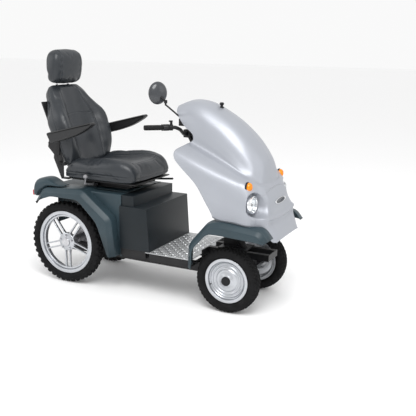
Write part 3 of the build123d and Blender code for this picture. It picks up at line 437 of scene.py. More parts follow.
SILVER = textured("silver_lacquer", (0.335, 0.35, 0.385), 0.44, 0.40, 0.15, shade=0.03, blotch=4, grain=2600,
                  bump=0.03, bump_depth=0.0001, rough_spread=0.05)
SLATE = textured("slate_moulding", (0.024, 0.042, 0.052), 0.40, shade=0.12, blotch=7, grain=1500, bump=0.22)
# A darker copy of the slate moulding for the battery box: painted shade, standing in for the shade on the box's
# front.
SLATE_PAINTED_SHADE = textured("slate_painted_shade", (0.0060, 0.0098, 0.0128), 0.44, shade=0.15, blotch=6, grain=1500, bump=0.2)
BLACK_STEEL = textured("black_powder_coat", (0.009, 0.009, 0.010), 0.42, shade=0.2, blotch=14, grain=1800, bump=0.15)
BLACK_PLASTIC = textured("black_moulding", (0.007, 0.007, 0.008), 0.48, shade=0.15, blotch=16, grain=1600, bump=0.2)
BRIGHT_STEEL = textured("bright_steel", (0.55, 0.55, 0.57), 0.28, 1.0, shade=0.08, blotch=30, grain=1400, bump=0.06)
CAST = textured("cast_aluminium", (0.42, 0.42, 0.44), 0.5, 0.9, shade=0.12, blotch=30, grain=700, bump=0.3)
TREAD_METAL = textured("tread_plate", (0.50, 0.51, 0.52), 0.48, 0.7, shade=0.10, blotch=20, grain=900, bump=0.1)
RUBBER = textured("tyre_rubber", (0.0075, 0.0075, 0.008), 0.80, shade=0.3, blotch=24, grain=800, bump=0.3)
GRIP = textured("grip_rubber", (0.006, 0.006, 0.0065), 0.6, shade=0.15, blotch=30, grain=900, bump=0.3)
WHEEL_SILVER = textured("wheel_lacquer", (0.48, 0.495, 0.52), 0.30, 0.85, 0.2, shade=0.05, blotch=18, grain=1600,
                        bump=0.05)
VINYL = leathery("charcoal_vinyl", (0.016, 0.0195, 0.024), 0.38)
CHROME = textured("chrome", (0.86, 0.87, 0.88), 0.08, 1.0, shade=0.02, blotch=30, grain=900, bump=0.0,
                  rough_spread=0.02)
GREY_KNOB = textured("grey_knob", (0.22, 0.22, 0.23), 0.35, shade=0.08, blotch=40, grain=1200, bump=0.08)
BATTERY = textured("battery_case", (0.07, 0.07, 0.085), 0.5, shade=0.12, blotch=20, grain=1200, bump=0.15)
RED = textured("red_lens", (0.42, 0.01, 0.012), 0.15, coat=0.6, shade=0.1, blotch=60, grain=300, bump=0.2)
AMBER = textured("amber_lens", (0.95, 0.36, 0.01), 0.14, coat=0.7, shade=0.12, blotch=60, grain=300, bump=0.15)
LENS = see_through("clear_lens", (0.96, 0.98, 1.0), 0.03, 0.96)
AMBER_LENS = see_through("amber_glow", (1.0, 0.30, 0.0), 0.12, 0.25)
MIRROR_GLASS = textured("mirror_glass", (0.75, 0.78, 0.80), 0.03, 1.0, shade=0.01, bump=0.0, rough_spread=0.01)
BADGE_FIELD = textured("badge_field", (0.03, 0.035, 0.045), 0.3, shade=0.1, blotch=60, grain=900, bump=0.1)
MIRROR_CASE = textured("mirror_case_gloss", (0.030, 0.033, 0.038), 0.26, coat=0.3, shade=0.1, blotch=30, grain=900,
                       bump=0.05)
TREAD_RAISED = textured("tread_raised", (0.72, 0.73, 0.74), 0.24, 0.85, shade=0.08, blotch=30, grain=900, bump=0.05)
ARM_PAD = leathery("armrest_skin", (0.008, 0.0085, 0.0095), 0.5)

# How strongly the dull finishes mirror the room.
for finish, gloss in ((RUBBER, 0.15), (BLACK_PLASTIC, 0.25), (BLACK_STEEL, 0.3), (GRIP, 0.2), (SLATE, 0.35),
                      (SLATE_PAINTED_SHADE, 0.3)):
    finish.node_tree.nodes["Principled BSDF"].inputs["Specular IOR Level"].default_value = gloss

CAD_FINISH = {
    BLACK_STEEL: "main_frame seat_tower front_subframe drive_motor footboard_sills steering_jacket axle_beam "
                 "knuckle_right knuckle_left seat_swivel seat_carriage back_frame",
    CAST: "gearbox motor_controller",
    BATTERY: "batteries",
    TREAD_METAL: "footboard",
    SLATE: "rear_mudguards rear_deck front_mudguards tail_pods",
    # The battery box takes the darker slate copy, whose colour is painted shade.
    SLATE_PAINTED_SHADE: "battery_cover",
    RED: "tail_lamps",
    SILVER: "hood nose",
    CHROME: "headlamp_bowls badge headlamp_lenses",
    AMBER: "indicator_lenses",
    BLACK_PLASTIC: "dash_panel mirror_stem mirror_head handlebar throttle_lever slide_lever recline_lever speed_dial "
                   "hood_knob charge_cap armrest_right armrest_left",
    BRIGHT_STEEL: "tie_rod steering_shaft headrest_posts key",
    RUBBER: "tyre_rear_right tyre_rear_left tyre_front_right tyre_front_left",
    WHEEL_SILVER: "rim_rear_right rim_rear_left rim_front_right rim_front_left",
    GRIP: "grips",
    GREY_KNOB: "swivel_lever freewheel_lever horn_button light_switch",
    VINYL: "seat_cushion back_pad headrest_pad",
}

add_camera()
add_studio()
for finish, names in CAD_FINISH.items():
    for name in names.split():
        paint(nodes[name], finish)


# ---------------------------------------------------------------- places
def front_place(points):
    """Points in mm, x and z measured from the front axle, as metres in the scooter's frame."""
    return np.asarray(points, float) * MM + np.array([FRONT_X, 0, FRONT_Z])


def rear_place(points):
    """Points in mm, x and z measured from the rear axle."""
    return np.asarray(points, float) * MM + np.array([REAR_X, 0, REAR_Z])


def seat_place(points):
    """Points in mm, x from the rear axle and z from the seat plate."""
    return np.asarray(points, float) * MM + np.array([REAR_X, 0, SEAT_Z])


def ease(value, low, high):
    """0 below low, 1 above high, and a smooth cubic step between."""
    t = np.clip((value - low) / (high - low), 0, 1)
    return t * t * (3 - 2 * t)


def hump(value, width):
    """A bell of height 1 at 0."""
    return np.exp(-(value / width) ** 2)


# ---------------------------------------------------------------- fairing
# Half sections from the crest to the hem, x and z from the front axle in mm: (x, [(y, z), ...]).
FAIRING = [
    (-455, [(0, 1020), (62, 1012), (108, 980), (128, 930), (138, 886), (148, 838), (196, 808), (262, 768),
            (272, 726), (262, 676)]),
    (-370, [(0, 1054), (80, 1040), (126, 996), (144, 936), (150, 886), (158, 838), (206, 812), (284, 768),
            (300, 696), (286, 626)]),
    (-270, [(0, 1054), (92, 1034), (142, 978), (156, 914), (162, 856), (170, 802), (220, 780), (300, 731),
            (316, 636), (300, 536)]),
    (-150, [(0, 1002), (96, 980), (150, 918), (166, 852), (174, 796), (182, 752), (232, 730), (306, 681),
            (322, 566), (306, 436)]),
    (-50, [(0, 940), (102, 915), (156, 850), (176, 780), (186, 734), (194, 706), (242, 684), (304, 641),
           (322, 510), (304, 380)]),
    (50, [(0, 852), (102, 828), (157, 764), (180, 696), (193, 668), (205, 654), (248, 642), (298, 608),
          (320, 490), (304, 374)]),
    (118, [(0, 768), (94, 745), (144, 695), (176, 642), (194, 628), (212, 622), (250, 612), (288, 588),
           (316, 480), (308, 368)]),
    (150, [(0, 712), (84, 690), (130, 638), (156, 600), (190, 590), (222, 580), (252, 566), (280, 546),
           (312, 480), (300, 364)]),
    (178, [(0, 560), (70, 556), (110, 552), (150, 546), (184, 536), (212, 524), (238, 508), (262, 488),
           (282, 450), (272, 358)]),
    (232, [(0, 446), (70, 444), (110, 442), (150, 438), (178, 432), (198, 426), (214, 418), (228, 406),
           (236, 392), (232, 330)]),
    (240, [(0, 392), (70, 391), (110, 390), (150, 388), (176, 384), (194, 380), (208, 374), (218, 364),
           (224, 350), (222, 300)]),
    (264, [(0, 346), (70, 344), (110, 340), (150, 336), (168, 331), (182, 325), (194, 317), (204, 306),
           (209, 292), (208, 267)]),
    (288, [(0, 268), (60, 268), (100, 267), (130, 267), (150, 266), (163, 266), (173, 265),
           (181, 265), (186, 264), (190, 264)]),
]
# The hood's rear edge seen from the side, upwards, x and z from the front axle in mm.
REAR_EDGE = [(-84, 350), (-84, 396), (-128, 483), (-192, 587), (-300, 682), (-344, 726), (-352, 771), (-318, 801),
             (-292, 826), (-298, 858), (-362, 906), (-430, 986), (-448, 1021), (-470, 1096)]
HOOD_END = 8                  # the station where the hood's shell ends and the nose's begins
# Places in mm: x and z from the front axle, y from the centre plane.
LAMP = (160, 256, 489)
INDICATOR = (118, 262, 592)


def fairing_sheet(stations, steps_u, steps_v):
    """The fairing between some stations: a smooth sheet through their half sections and its mirror image, in mm."""
    grid = np.array([[(x, y, z) for y, z in half] for x, half in stations], float)
    half = sheet_through(grid, steps_u, steps_v)
    other = half[:, :0:-1] * (1, -1, 1)
    return np.concatenate([other, half], 1)


def cut_to_rear_edge(sheet, rows):
    """Starts every line of the sheet where it meets the rear edge, seen from the side, and spaces it evenly."""
    edge = through(np.array(REAR_EDGE, float), 8)
    ahead = sheet[..., 0] - np.interp(sheet[..., 2], edge[:, 1], edge[:, 0])
    last = len(sheet) - 1 - np.argmax(ahead[::-1] < 0, axis=0)
    last = np.where((ahead < 0).any(0), last, 0)
    after = np.minimum(last + 1, len(sheet) - 1)
    column = np.arange(sheet.shape[1])
    a, b = ahead[last, column], ahead[after, column]
    start = last + np.clip(-a / np.where(b - a == 0, 1, b - a), 0, 1)
    row = start[None] + (len(sheet) - 1 - start)[None] * np.linspace(0, 1, rows)[:, None]
    low = np.clip(np.floor(row).astype(int), 0, len(sheet) - 2)
    share = (row - low)[..., None]
    return sheet[low, column[None]] * (1 - share) + sheet[low + 1, column[None]] * share


def shape_front(sheet):
    """The bulge that starts at a crease below the hood, the pocket round each lamp, and the lip over the
    lower panel: x is moved by steps and bells of y and z."""
    x, y, z = sheet[..., 0], np.abs(sheet[..., 1]), sheet[..., 2]
    front = ease(x, 96, 130)
    crease = 582 + 34 * (y / 220) ** 2
    below = crease - z
    bulge = 17 * (1 - np.exp(-np.clip(below, 0, None) / 12)) * (1 - ease(below, 70, 150)) * (1 - ease(y, 150, 214))
    lip = 392 + 12 * (y / 209) ** 2
    ridge = 11 * hump(z - lip, 13) - 9 * hump(z - lip + 34, 22) * (1 - ease(y, 170, 214))
    x = x + front * (bulge + ridge * (1 - ease(y, 214, 262)))
    _, lamp_y, lamp_z = LAMP
    reach = np.sqrt(((y - lamp_y + 2) / 68) ** 2 + ((z - lamp_z + 2) / 66) ** 2)
    pocket = 1 - ease(reach, 0.96, 1.16)
    pocket_floor = 132
    x = x - pocket * np.clip(x - pocket_floor, 0, None)
    return np.stack([x, sheet[..., 1], z], -1)


def add_fairing():
    """Hood and nose as two moulded shells that meet below the hood's front. Returns the nose's middle line."""
    hood = fairing_sheet(FAIRING[:HOOD_END + 1], 26, 9)
    hood = shape_front(cut_to_rear_edge(hood, 190))
    nose = shape_front(fairing_sheet(FAIRING[HOOD_END:], 26, 9))
    for name, sheet in (("hood", hood), ("nose", nose)):
        shell = surface(name + "_shell", front_place(sheet))
        wall(shell, 4 * MM)
        piece(shell, "chassis", SILVER, "silver_paint", name)
    return front_place(nose[:, nose.shape[1] // 2])


NOSE_LINE = add_fairing()


# ---------------------------------------------------------------- wheels
# How many blocks round, rows across and the share that is slot; tread depth in mm; steps round the tyre; and the
# power that squares the shoulder of its section.
TREADS = {"knobbly": (40, 4, 0.20, 10.0, 960, 0.60), "road": (46, 6, 0.17, 7.0, 900, 0.56)}


def tyre_profile(radius, width, rim_radius, rim_width, crown, steps):
    """A closed tyre section as (y, radius): a superellipse with a squarish crown and bulging sides, and beads
    on the rim; crown is the power that squares its shoulder."""
    half, seat = width / 2, rim_width / 2 - 6
    middle = (rim_radius + radius) / 2
    a = np.linspace(-0.80, np.pi + 0.80, steps)
    up = np.sin(a)
    y = squared(np.cos(a), 0.72) * half
    tall = np.where(up > 0, radius - middle, middle - rim_radius - 2)
    r = middle + squared(up, crown) * tall
    bead = np.array([(-seat, rim_radius + 1), (-seat, rim_radius - 12), (-seat + 8, rim_radius - 12),
                     (-half + 16, middle), (0, radius - 14), (half - 16, middle), (seat - 8, rim_radius - 12),
                     (seat, rim_radius - 12), (seat, rim_radius + 1)], float)
    return np.vstack([np.stack([y, r], 1), bead])


def tread_height(turn, across, count, rows, slot):
    """How high the tread stands, 0 in a groove to 1 on a block, for an angle in turns and a place across
    from -1 to 1. Rows of blocks, each row shifted against the next, with slots between the rows."""
    row = (across * 0.5 + 0.5) * rows
    wave = 0.12 * np.sin(turn * count * 2 * np.pi)
    place = row + wave
    inside = np.abs(place - np.floor(place) - 0.5) * 2
    lane = np.floor(place)
    step = turn * count + 0.5 * (lane % 2) + 0.25 * np.abs(across)
    along = np.abs(step - np.floor(step) - 0.5) * 2
    return (1 - ease(inside, 1 - slot * 2.2, 1 - slot)) * (1 - ease(along, 1 - slot * 3.2, 1 - slot * 1.6))


def add_tyre(node, body, centre, radius, width, rim_radius, rim_width, kind):
    """A tyre turned about its axle, with tread blocks raised on the crown and fine ribs on the sides."""
    count, rows, slot, depth, segments, crown = TREADS[kind]
    profile = tyre_profile(radius - 0.5, width, rim_radius, rim_width, crown, 64)
    turn = np.linspace(0, 1, segments, endpoint=False)[:, None]
    y, r = profile[None, :, 0], profile[None, :, 1]
    crown_share = ease(r, radius - 34, radius - 20) * np.ones_like(turn)
    across = np.clip(y / (width * 0.47), -1, 1) * np.ones_like(turn)
    blocks = tread_height(turn, across, count, rows, slot)
    r = r - depth * crown_share * (1 - blocks)
    rib = 0.7 * hump(r - (rim_radius + 14), 2.5) + 0.5 * hump(r - (rim_radius + 24), 1.5)
    y = y + np.sign(y) * rib * (1 - crown_share)
    angle = turn * 2 * np.pi
    grid = np.stack([np.cos(angle) * r, y * np.ones_like(turn), np.sin(angle) * r], -1) * MM
    tyre = surface(node + "_tread", grid + np.array(centre), close_u=True, close_v=True)
    piece(outward(tyre), body, RUBBER, "tyre_rubber", node)


def barrel_profile(radius, width, well, wall_mm=4):
    """A closed rim section as (y, radius): rolled flanges, bead seats and a drop centre."""
    half, seat = width / 2, radius - 14
    top = [(-half, radius - 2), (-half + 1.5, radius), (-half + 4, radius), (-half + 5.5, radius - 2),
           (-half + 6, seat), (-half + 16, seat - 1), (-half + 22, seat - well), (half - 22, seat - well),
           (half - 16, seat - 1), (half - 6, seat), (half - 5.5, radius - 2), (half - 4, radius),
           (half - 1.5, radius), (half, radius - 2)]
    under = [(half, seat - wall_mm), (half - 3, seat - wall_mm - 2), (half - 17, seat - wall_mm - 3),
             (half - 24, seat - well - wall_mm), (-half + 24, seat - well - wall_mm),
             (-half + 17, seat - wall_mm - 3), (-half + 3, seat - wall_mm - 2), (-half, seat - wall_mm)]
    return rounded(np.array(top + under, float), 3, 3)


def wheel_part(name, section, corner, side, centre, segments):
    """A wheel section of (outwards, radius) in mm with its corners rounded, turned about the axle; side is 1
    when outwards is to the left and -1 when it is to the right."""
    section = np.array(section, float)
    if corner:
        section = rounded(section, corner, 3)
    return outward(revolve(name, section * (side * MM, MM), centre, segments))


def add_front_rim(side, name):
    """Pressed steel wheel: barrel, a disc with stepped rings and a domed middle, hub cap and valve."""
    node, body = "rim_front_" + name, "wheel_front_" + name
    centre = (FRONT_X, side * WHEEL_Y["front"] * MM, FRONT_Z)
    barrel = wheel_part(node + "_barrel", barrel_profile(141, 72, 14), 0, side, centre, 128)
    face = [(13, 112), (17, 110), (20, 107), (21, 104), (20, 101), (16, 98), (15, 95), (17, 92), (21, 89), (22, 85),
            (20, 81), (17, 78), (17, 74), (20, 70), (24, 66), (25, 62), (25, 57), (27, 50), (30, 43), (33, 37),
            (36, 33), (37, 30), (37, 0.01)]
    back = [(32, 0.01), (32, 30), (28, 36), (22, 50), (19, 62), (13, 74), (13, 84), (10, 98), (6, 112)]
    disc = wheel_part(node + "_disc", face + back, 1.5, side, centre, 128)
    cap = [(34, 0.01), (34, 29), (42, 29), (45, 27), (46.5, 23), (46.5, 14), (45.5, 12), (45.5, 0.01)]
    cap = wheel_part(node + "_cap", cap, 1.2, side, centre, 64)
    hub = [(30, 0.01), (30, 33), (-14, 33), (-14, 11), (22, 11), (24, 0.01)]
    hub = wheel_part(node + "_hub", hub, 1.0, side, centre, 64)
    turn = math.radians(200)
    base = np.array(centre) + np.array([math.cos(turn) * 118, side * 12, math.sin(turn) * 118]) * MM
    lean = np.array([-math.cos(turn) * 7, side * 22, -math.sin(turn) * 7]) * MM
    valve = tube(node + "_valve", base + np.linspace(0, 1, 9)[:, None] * lean,
                 np.array([4, 4, 3.4, 3.2, 3.2, 3.2, 3.6, 3.6, 3.2]) * MM, 16)
    piece(barrel, body, WHEEL_SILVER, "wheel_silver", node)
    piece(disc, body, WHEEL_SILVER, "wheel_silver")
    piece(hub, body, BLACK_STEEL, "axle_steel")
    piece(cap, body, BLACK_PLASTIC, "black_plastic")
    piece(outward(valve), body, BLACK_PLASTIC, "black_plastic")


def spoke_grid(reach, gap, turn):
    """One cast spoke as a closed loft from the hub to the barrel: rounded-rectangle rings that widen at both
    ends, in the wheel's plane, before it is turned into place."""
    s = np.linspace(0, 1, 24)
    along = 46 + s * (reach - 46)
    wide = 10 + 5 * (1 - ease(s, 0, 0.2)) + 6 * ease(s, 0.82, 1)
    deep = 17 + 8 * (1 - ease(s, 0, 0.35)) + 4 * ease(s, 0.85, 1)
    a = np.linspace(0, 2 * np.pi, 20, endpoint=False)
    ring_w, ring_d = squared(np.cos(a), 0.5), squared(np.sin(a), 0.5)
    w = gap + ring_w[None] * wide[:, None] / 2
    d = ring_d[None] * deep[:, None] / 2
    r = np.broadcast_to(along[:, None], w.shape)
    c, n = math.cos(turn), math.sin(turn)
    return np.stack([c * r - n * w, d, n * r + c * w], -1)


def add_rear_rim(side, name):
    """Cast wheel: deep barrel, five pairs of spokes, a bolted hub flange, nuts and a centre cap."""
    node, body = "rim_rear_" + name, "wheel_rear_" + name
    centre = np.array([REAR_X, side * WHEEL_Y["rear"] * MM, REAR_Z])
    barrel = wheel_part(node + "_barrel", barrel_profile(216, 60, 12, 7), 0, side, centre, 160)
    ring = [(8, 192), (18, 191), (20, 188), (20, 180), (18, 177), (8, 176), (-8, 176), (-12, 180), (-12, 190)]
    ring = wheel_part(node + "_inner_ring", ring, 1.5, side, centre, 160)
    hub = [(20, 0.01), (20, 40), (18, 44), (14, 58), (11, 62), (-14, 62), (-20, 56), (-46, 40), (-46, 0.01)]
    hub = wheel_part(node + "_hub", hub, 2, side, centre, 96)
    flange = [(30, 0.01), (30, 14), (28, 28), (25, 30), (19, 31), (19, 0.01)]
    flange = wheel_part(node + "_flange", flange, 1.2, side, centre, 64)
    shaft_length = WHEEL_Y["rear"] - 100
    shaft = [(0, 0.01), (0, 12), (-shaft_length, 12), (-shaft_length, 0.01)]
    shaft = wheel_part(node + "_half_shaft", shaft, 0, side, centre, 32)
    spokes = []
    for pair in range(5):
        for gap in (-17, 17):
            turn = math.radians(72 * pair - 90)
            grid = spoke_grid(190, gap, turn) * (1, side, 1) * MM + centre
            spoke = surface(f"{node}_spoke_{pair}_{gap}", grid, close_v=True)
            cap_ends(spoke, *grid.shape[:2])
            spokes.append(spoke)
    spokes = outward(join(node + "_spokes", spokes))
    nuts = []
    for i in range(5):
        turn = math.radians(72 * i - 54)
        at = centre + np.array([math.cos(turn) * 48, side * 18, math.sin(turn) * 48]) * MM
        nuts.append(nut(f"{node}_nut_{i}", at, (0, side, 0), 8, 9))
    nuts = join(node + "_nuts", nuts)
    piece(barrel, body, WHEEL_SILVER, "wheel_silver", node)
    for part in (ring, spokes, hub):
        piece(part, body, WHEEL_SILVER, "wheel_silver")
    for part in (flange, nuts, shaft):
        piece(part, body, BRIGHT_STEEL, "bright_steel")


def nut(name, base, axis, across, height):
    """A hexagonal nut with chamfered corners and a round stud end: rings of changing radius along its axis."""
    axis = Vector(axis).normalized()
    side = axis.orthogonal().normalized()
    up = axis.cross(side)
    a = np.linspace(0, 2 * np.pi, 36, endpoint=False)
    flat = across / np.cos((a % (np.pi / 3)) - np.pi / 6) * 0.87
    full, whole = np.minimum(flat, across * 0.98), np.ones_like(a)
    h = height * np.array([0, 0, 0.75, 0.95, 0.95, 1.4, 1.5, 1.5])
    r = np.stack([0.01 * whole, full, full, full * 0.86, across * 0.5 * whole, across * 0.5 * whole,
                  across * 0.42 * whole, 0.01 * whole])
    grid = np.array(base) + MM * (h[:, None, None] * np.array(axis) + (r * np.cos(a))[..., None] * np.array(side)
                                  + (r * np.sin(a))[..., None] * np.array(up))
    return outward(surface(name, grid, close_v=True, smooth=False))


for side, name in ((-1, "right"), (1, "left")):
    add_tyre("tyre_rear_" + name, "wheel_rear_" + name, (REAR_X, side * WHEEL_Y["rear"] * MM, REAR_Z),
             280, 80, 216, 60, "knobbly")
    add_tyre("tyre_front_" + name, "wheel_front_" + name, (FRONT_X, side * WHEEL_Y["front"] * MM, FRONT_Z),
             204, 90, 141, 72, "road")
    add_front_rim(side, name)
    add_rear_rim(side, name)


# ---------------------------------------------------------------- mudguards and covers
# Side-view lines of each mudguard's top corner and of its hem, x and z in mm from its own axle.
FRONT_TOP = [(-236, 64), (-231, 213), (-110, 358), (-28, 375), (232, 353), (277, 298)]
FRONT_HEM = [(-204, 64), (-200, 189), (-101, 299), (-20, 300), (199, 290), (258, 282)]
REAR_TOP = [(-203, 278), (-139, 372), (174, 388), (398, 219), (424, -28)]
REAR_HEM = [(-190, 276), (-74, 323), (155, 322), (298, 188), (382, -28)]


def mudguard_grid(top, hem, radius, inner, rise, edge):
    """A mudguard as a profile carried along its side-view line, in mm: across the skirt from the hem up, round
    the outer edge, and inwards over the top, which rises by a little; corners of the line are rounded."""
    top = rounded(np.array(top, float), radius, 7, closed=False)
    hem = rounded(np.array(hem, float), radius, 7, closed=False)
    forward = np.gradient(top, axis=0)
    forward /= np.linalg.norm(forward, axis=1)[:, None]
    normal = np.stack([-forward[:, 1], forward[:, 0]], 1)
    outer = HALF_WIDTH / MM
    skirt = np.linspace(0, 1, 8)[:-1]
    q = np.linspace(0, 1, 7)
    bend = edge * np.stack([1 - np.cos(q * np.pi / 2) ** 1.85, np.sin(q * np.pi / 2) ** 1.85 - 1], 1)
    s = np.linspace(0, 1, 10)[1:]
    across = np.concatenate([np.full(len(skirt), 0.0), bend[:, 0], edge + (inner - edge) * s])
    lift = np.concatenate([np.full(len(skirt), -edge), bend[:, 1], rise * ease(s, 0, 0.6)])
    share = np.concatenate([skirt, np.ones(len(across) - len(skirt))])
    base = hem[:, None] + (top[:, None] - hem[:, None]) * share[None, :, None]
    place = base + normal[:, None] * lift[None, :, None] * share[None, :, None]
    y = -outer + across
    return np.stack([place[..., 0], np.broadcast_to(y, place.shape[:2]), place[..., 1]], -1)


def add_mudguards():
    """Front and rear mudguards as shells, and the inner wall of each rear one."""
    front = surface("front_mudguard_right", front_place(mudguard_grid(FRONT_TOP, FRONT_HEM, 30, 98, 9, 26)))
    rear = surface("rear_mudguard_right", rear_place(mudguard_grid(REAR_TOP, REAR_HEM, 36, 176, 0, 28)))
    for shell, node in ((front, "front_mudguards"), (rear, None)):
        finish_mesh(wall(shell, 4 * MM))
        other = mirrored(shell.name.replace("right", "left"), shell)
        piece(shell, "chassis", SLATE, "slate_plastic", node)
        piece(other, "chassis", SLATE, "slate_plastic")
    well = REAR_TOP + [(330, -28), (300, 140), (150, 300), (-60, 320)]
    outline = rear_place([(x, 0, z) for x, z in well])[:, [0, 2]]
    y = (HALF_WIDTH / MM - 176) * MM
    inner = outward(prism("rear_well_left", outline, y - 2 * MM, y + 2 * MM, 0.8 * MM))
    both_sides(inner, "chassis", SLATE, "slate_plastic", "rear_mudguards")
    # The battery cover gets the darker slate copy, whose colour is painted shade.
    for node, slot, finish, width in (("battery_cover", "slate_plastic", SLATE_PAINTED_SHADE, 9),
                                      ("rear_deck", "slate_plastic", SLATE, 4),
                                      ("tail_lamps", "red_lens", RED, 5)):
        piece(softened_copy(node, width * MM, 3), "chassis", finish, slot, node)


add_mudguards()


# ---------------------------------------------------------------- seat
# Cushion sections from its centre top round to its centre bottom, in mm: (x, [(y, z), ...]).
CUSHION = [
    (-22, [(0, 134), (110, 135), (170, 146), (210, 154), (236, 142), (244, 116), (236, 94), (120, 86), (0, 86)]),
    (50, [(0, 162), (110, 163), (168, 182), (212, 202), (246, 184), (256, 134), (248, 92), (120, 85), (0, 85)]),
    (190, [(0, 168), (110, 170), (168, 196), (214, 219), (249, 198), (259, 140), (250, 92), (120, 85), (0, 85)]),
    (330, [(0, 178), (110, 181), (168, 208), (216, 231), (250, 210), (260, 144), (250, 92), (120, 85), (0, 85)]),
    (430, [(0, 190), (110, 192), (168, 208), (214, 222), (248, 204), (257, 144), (247, 92), (120, 85), (0, 85)]),
    (494, [(0, 184), (110, 184), (162, 190), (204, 194), (234, 176), (242, 136), (234, 96), (120, 87), (0, 87)]),
    (522, [(0, 150), (110, 150), (160, 152), (196, 152), (220, 144), (228, 126), (220, 104), (110, 94), (0, 94)]),
]
# Backrest up its lean: height, half width, bolster in front of its face, rear of the pad behind the face.
BACK = [(-46, 212, 14, 56), (0, 228, 36, 72), (80, 242, 70, 84), (190, 250, 90, 86), (290, 246, 88, 86),
        (360, 216, 66, 82), (420, 192, 44, 78), (490, 172, 20, 70), (530, 146, 0, 54)]
BACK_LEAN = math.radians(21.9)
BACK_FOOT = (18, 194)
# Headrest: height above the seat plate, half width, rear and front face.
HEADREST = [(697, 122, -220, -154), (712, 138, -234, -136), (760, 149, -240, -122), (808, 152, -242, -116),
            (856, 148, -238, -116), (890, 134, -226, -128), (905, 112, -212, -146)]


def on_back(up, out):
    """A point of the backrest: up along its lean and out in front of its face, as x and z in mm."""
    s, c = math.sin(BACK_LEAN), math.cos(BACK_LEAN)
    return BACK_FOOT[0] - s * up + c * out, BACK_FOOT[1] + c * up + s * out


def back_place(points):
    """How far up the backrest and out from its face points in mm lie."""
    s, c = math.sin(BACK_LEAN), math.cos(BACK_LEAN)
    x, z = points[..., 0] - BACK_FOOT[0], points[..., 2] - BACK_FOOT[1]
    return -s * x + c * z, c * x + s * z


def round_ring(half):
    """A half section from centre to centre made a closed ring, without its doubled centre points."""
    half = np.asarray(half, float)
    return np.concatenate([half, half[-2:0:-1] * (1, -1, 1)])


def lofted(name, rings, steps_u, steps_v, closing):
    """A closed pad: a smooth sheet through rings, whose ends shrink to a point over a short rounded nose."""
    grid = through(rings, steps_u)
    wrapped = np.concatenate([grid[:, -2:], grid, grid[:, :3]], 1)
    around = through(wrapped.transpose(1, 0, 2), steps_v).transpose(1, 0, 2)
    around = around[:, 2 * steps_v:(2 + grid.shape[1]) * steps_v]
    ends = []
    for at, beside in ((0, 1), (-1, -2)):
        middle = around[at].mean(0)
        ahead = middle - around[beside].mean(0)
        ahead /= np.linalg.norm(ahead)
        q = np.radians(np.array([25, 45, 65, 80, 89.9]))[:, None, None]
        ends.append(middle + (around[at] - middle) * np.cos(q) + ahead * closing * np.sin(q))
    grid = np.concatenate([ends[0][::-1], around, ends[1]])
    return outward(surface(name, seat_place(grid), close_v=True))


def plump(pad, voxel, cap, pressure=4.0, held=None):
    """Fills a pad with air as cloth: an even mesh, 20 steps of cloth under pressure without gravity, moves
    capped, then one subdivision. held gives 0 where the pad rests on something and 1 where it may swell."""
    even = pad.modifiers.new("even", "REMESH")
    even.mode, even.voxel_size, even.use_smooth_shade = "VOXEL", voxel * MM, True
    finish_mesh(pad)
    start = coordinates(pad)
    scene = bpy.context.scene
    cloth = pad.modifiers.new("cloth", "CLOTH")
    cloth.settings.quality = 5
    cloth.settings.use_pressure = True
    cloth.settings.uniform_pressure_force = pressure
    cloth.settings.effector_weights.gravity = 0
    cloth.collision_settings.use_collision = False
    cloth.point_cache.frame_start, cloth.point_cache.frame_end = 1, 20
    for step in range(1, 21):
        scene.frame_set(step)
    finish_mesh(pad)
    scene.frame_set(1)
    move = coordinates(pad) - start
    size = np.linalg.norm(move, axis=1)[:, None] + 1e-9
    move *= np.minimum(1, cap * MM / size)
    if held is not None:
        move *= held(start / MM - np.array([REAR_X, 0, SEAT_Z]) / MM)[:, None]
    set_coordinates(pad, start + move)
    relax(pad, 4)
    finer = pad.modifiers.new("finer", "SUBSURF")
    finer.levels = finer.render_levels = 1
    return finish_mesh(pad)


def relax(obj, times):
    """Evens out a mesh by a few rounds of smoothing."""
    even = obj.modifiers.new("relax", "SMOOTH")
    even.factor, even.iterations = 0.5, times
    return finish_mesh(obj)


def coordinates(obj, what="co"):
    """The vertex places or normals of a mesh, one row each."""
    out = np.empty(len(obj.data.vertices) * 3, np.float32)
    obj.data.vertices.foreach_get(what, out)
    return out.reshape(-1, 3).astype(float)


def set_coordinates(obj, points):
    """Moves the vertices of a mesh."""
    obj.data.vertices.foreach_set("co", np.asarray(points, np.float32).ravel())
    obj.data.update()


def emboss(obj, height):
    """Moves each vertex along its normal by height, a function of its place in mm from the rear axle and
    the seat plate."""
    points = coordinates(obj)
    place = (points - np.array([REAR_X, 0, SEAT_Z])) / MM
    set_coordinates(obj, points + coordinates(obj, "normal") * (height(place) * MM)[:, None])
    return obj


def seam(distance, depth=3.2, width=3.4):
    """A sewn seam: a groove with a little swelling on both sides, by distance from its line."""
    return -depth * hump(distance, width) + 0.28 * depth * hump(np.abs(distance) - 3.1 * width, 2.2 * width)


def creases(a, b, size):
    """Shallow wrinkles: a sum of sines of different lengths in two directions."""
    return size * (np.sin(a / 13 + 1.3 * np.sin(b / 31)) * np.sin(b / 47 + 0.7) * 0.6
                   + np.sin(a / 29 - b / 19 + 2.1) * 0.4)


def cushion_relief(p):
    """Seams of the cushion: two along the bolsters, one across the front, one round the side; a soft hollow
    where a rider sits, and wrinkles beside the seams."""
    x, y, z = p.T
    top = ease(z, 118, 140)
    across = np.abs(y)
    inner = 150 + 12 * ease(x, 60, 430)
    panel = seam(across - inner) * top * ease(x, -8, 20) * (1 - ease(x, 452, 480))
    front = seam(x - 462 + 10 * (across / 160) ** 2, 2.6) * top * (1 - ease(across, inner - 2, inner + 8))
    side = seam(z - 112 - 14 * ease(across, 200, 248), 2.6, 3.0) * (1 - ease(z, 150, 160)) * ease(z, 92, 100)
    hollow = -7 * hump(x - 210, 130) * hump(across, 110) * top
    return panel + front + side + hollow + creases(x, y, 0.9) * (hump(across - inner, 34) + 0.35)


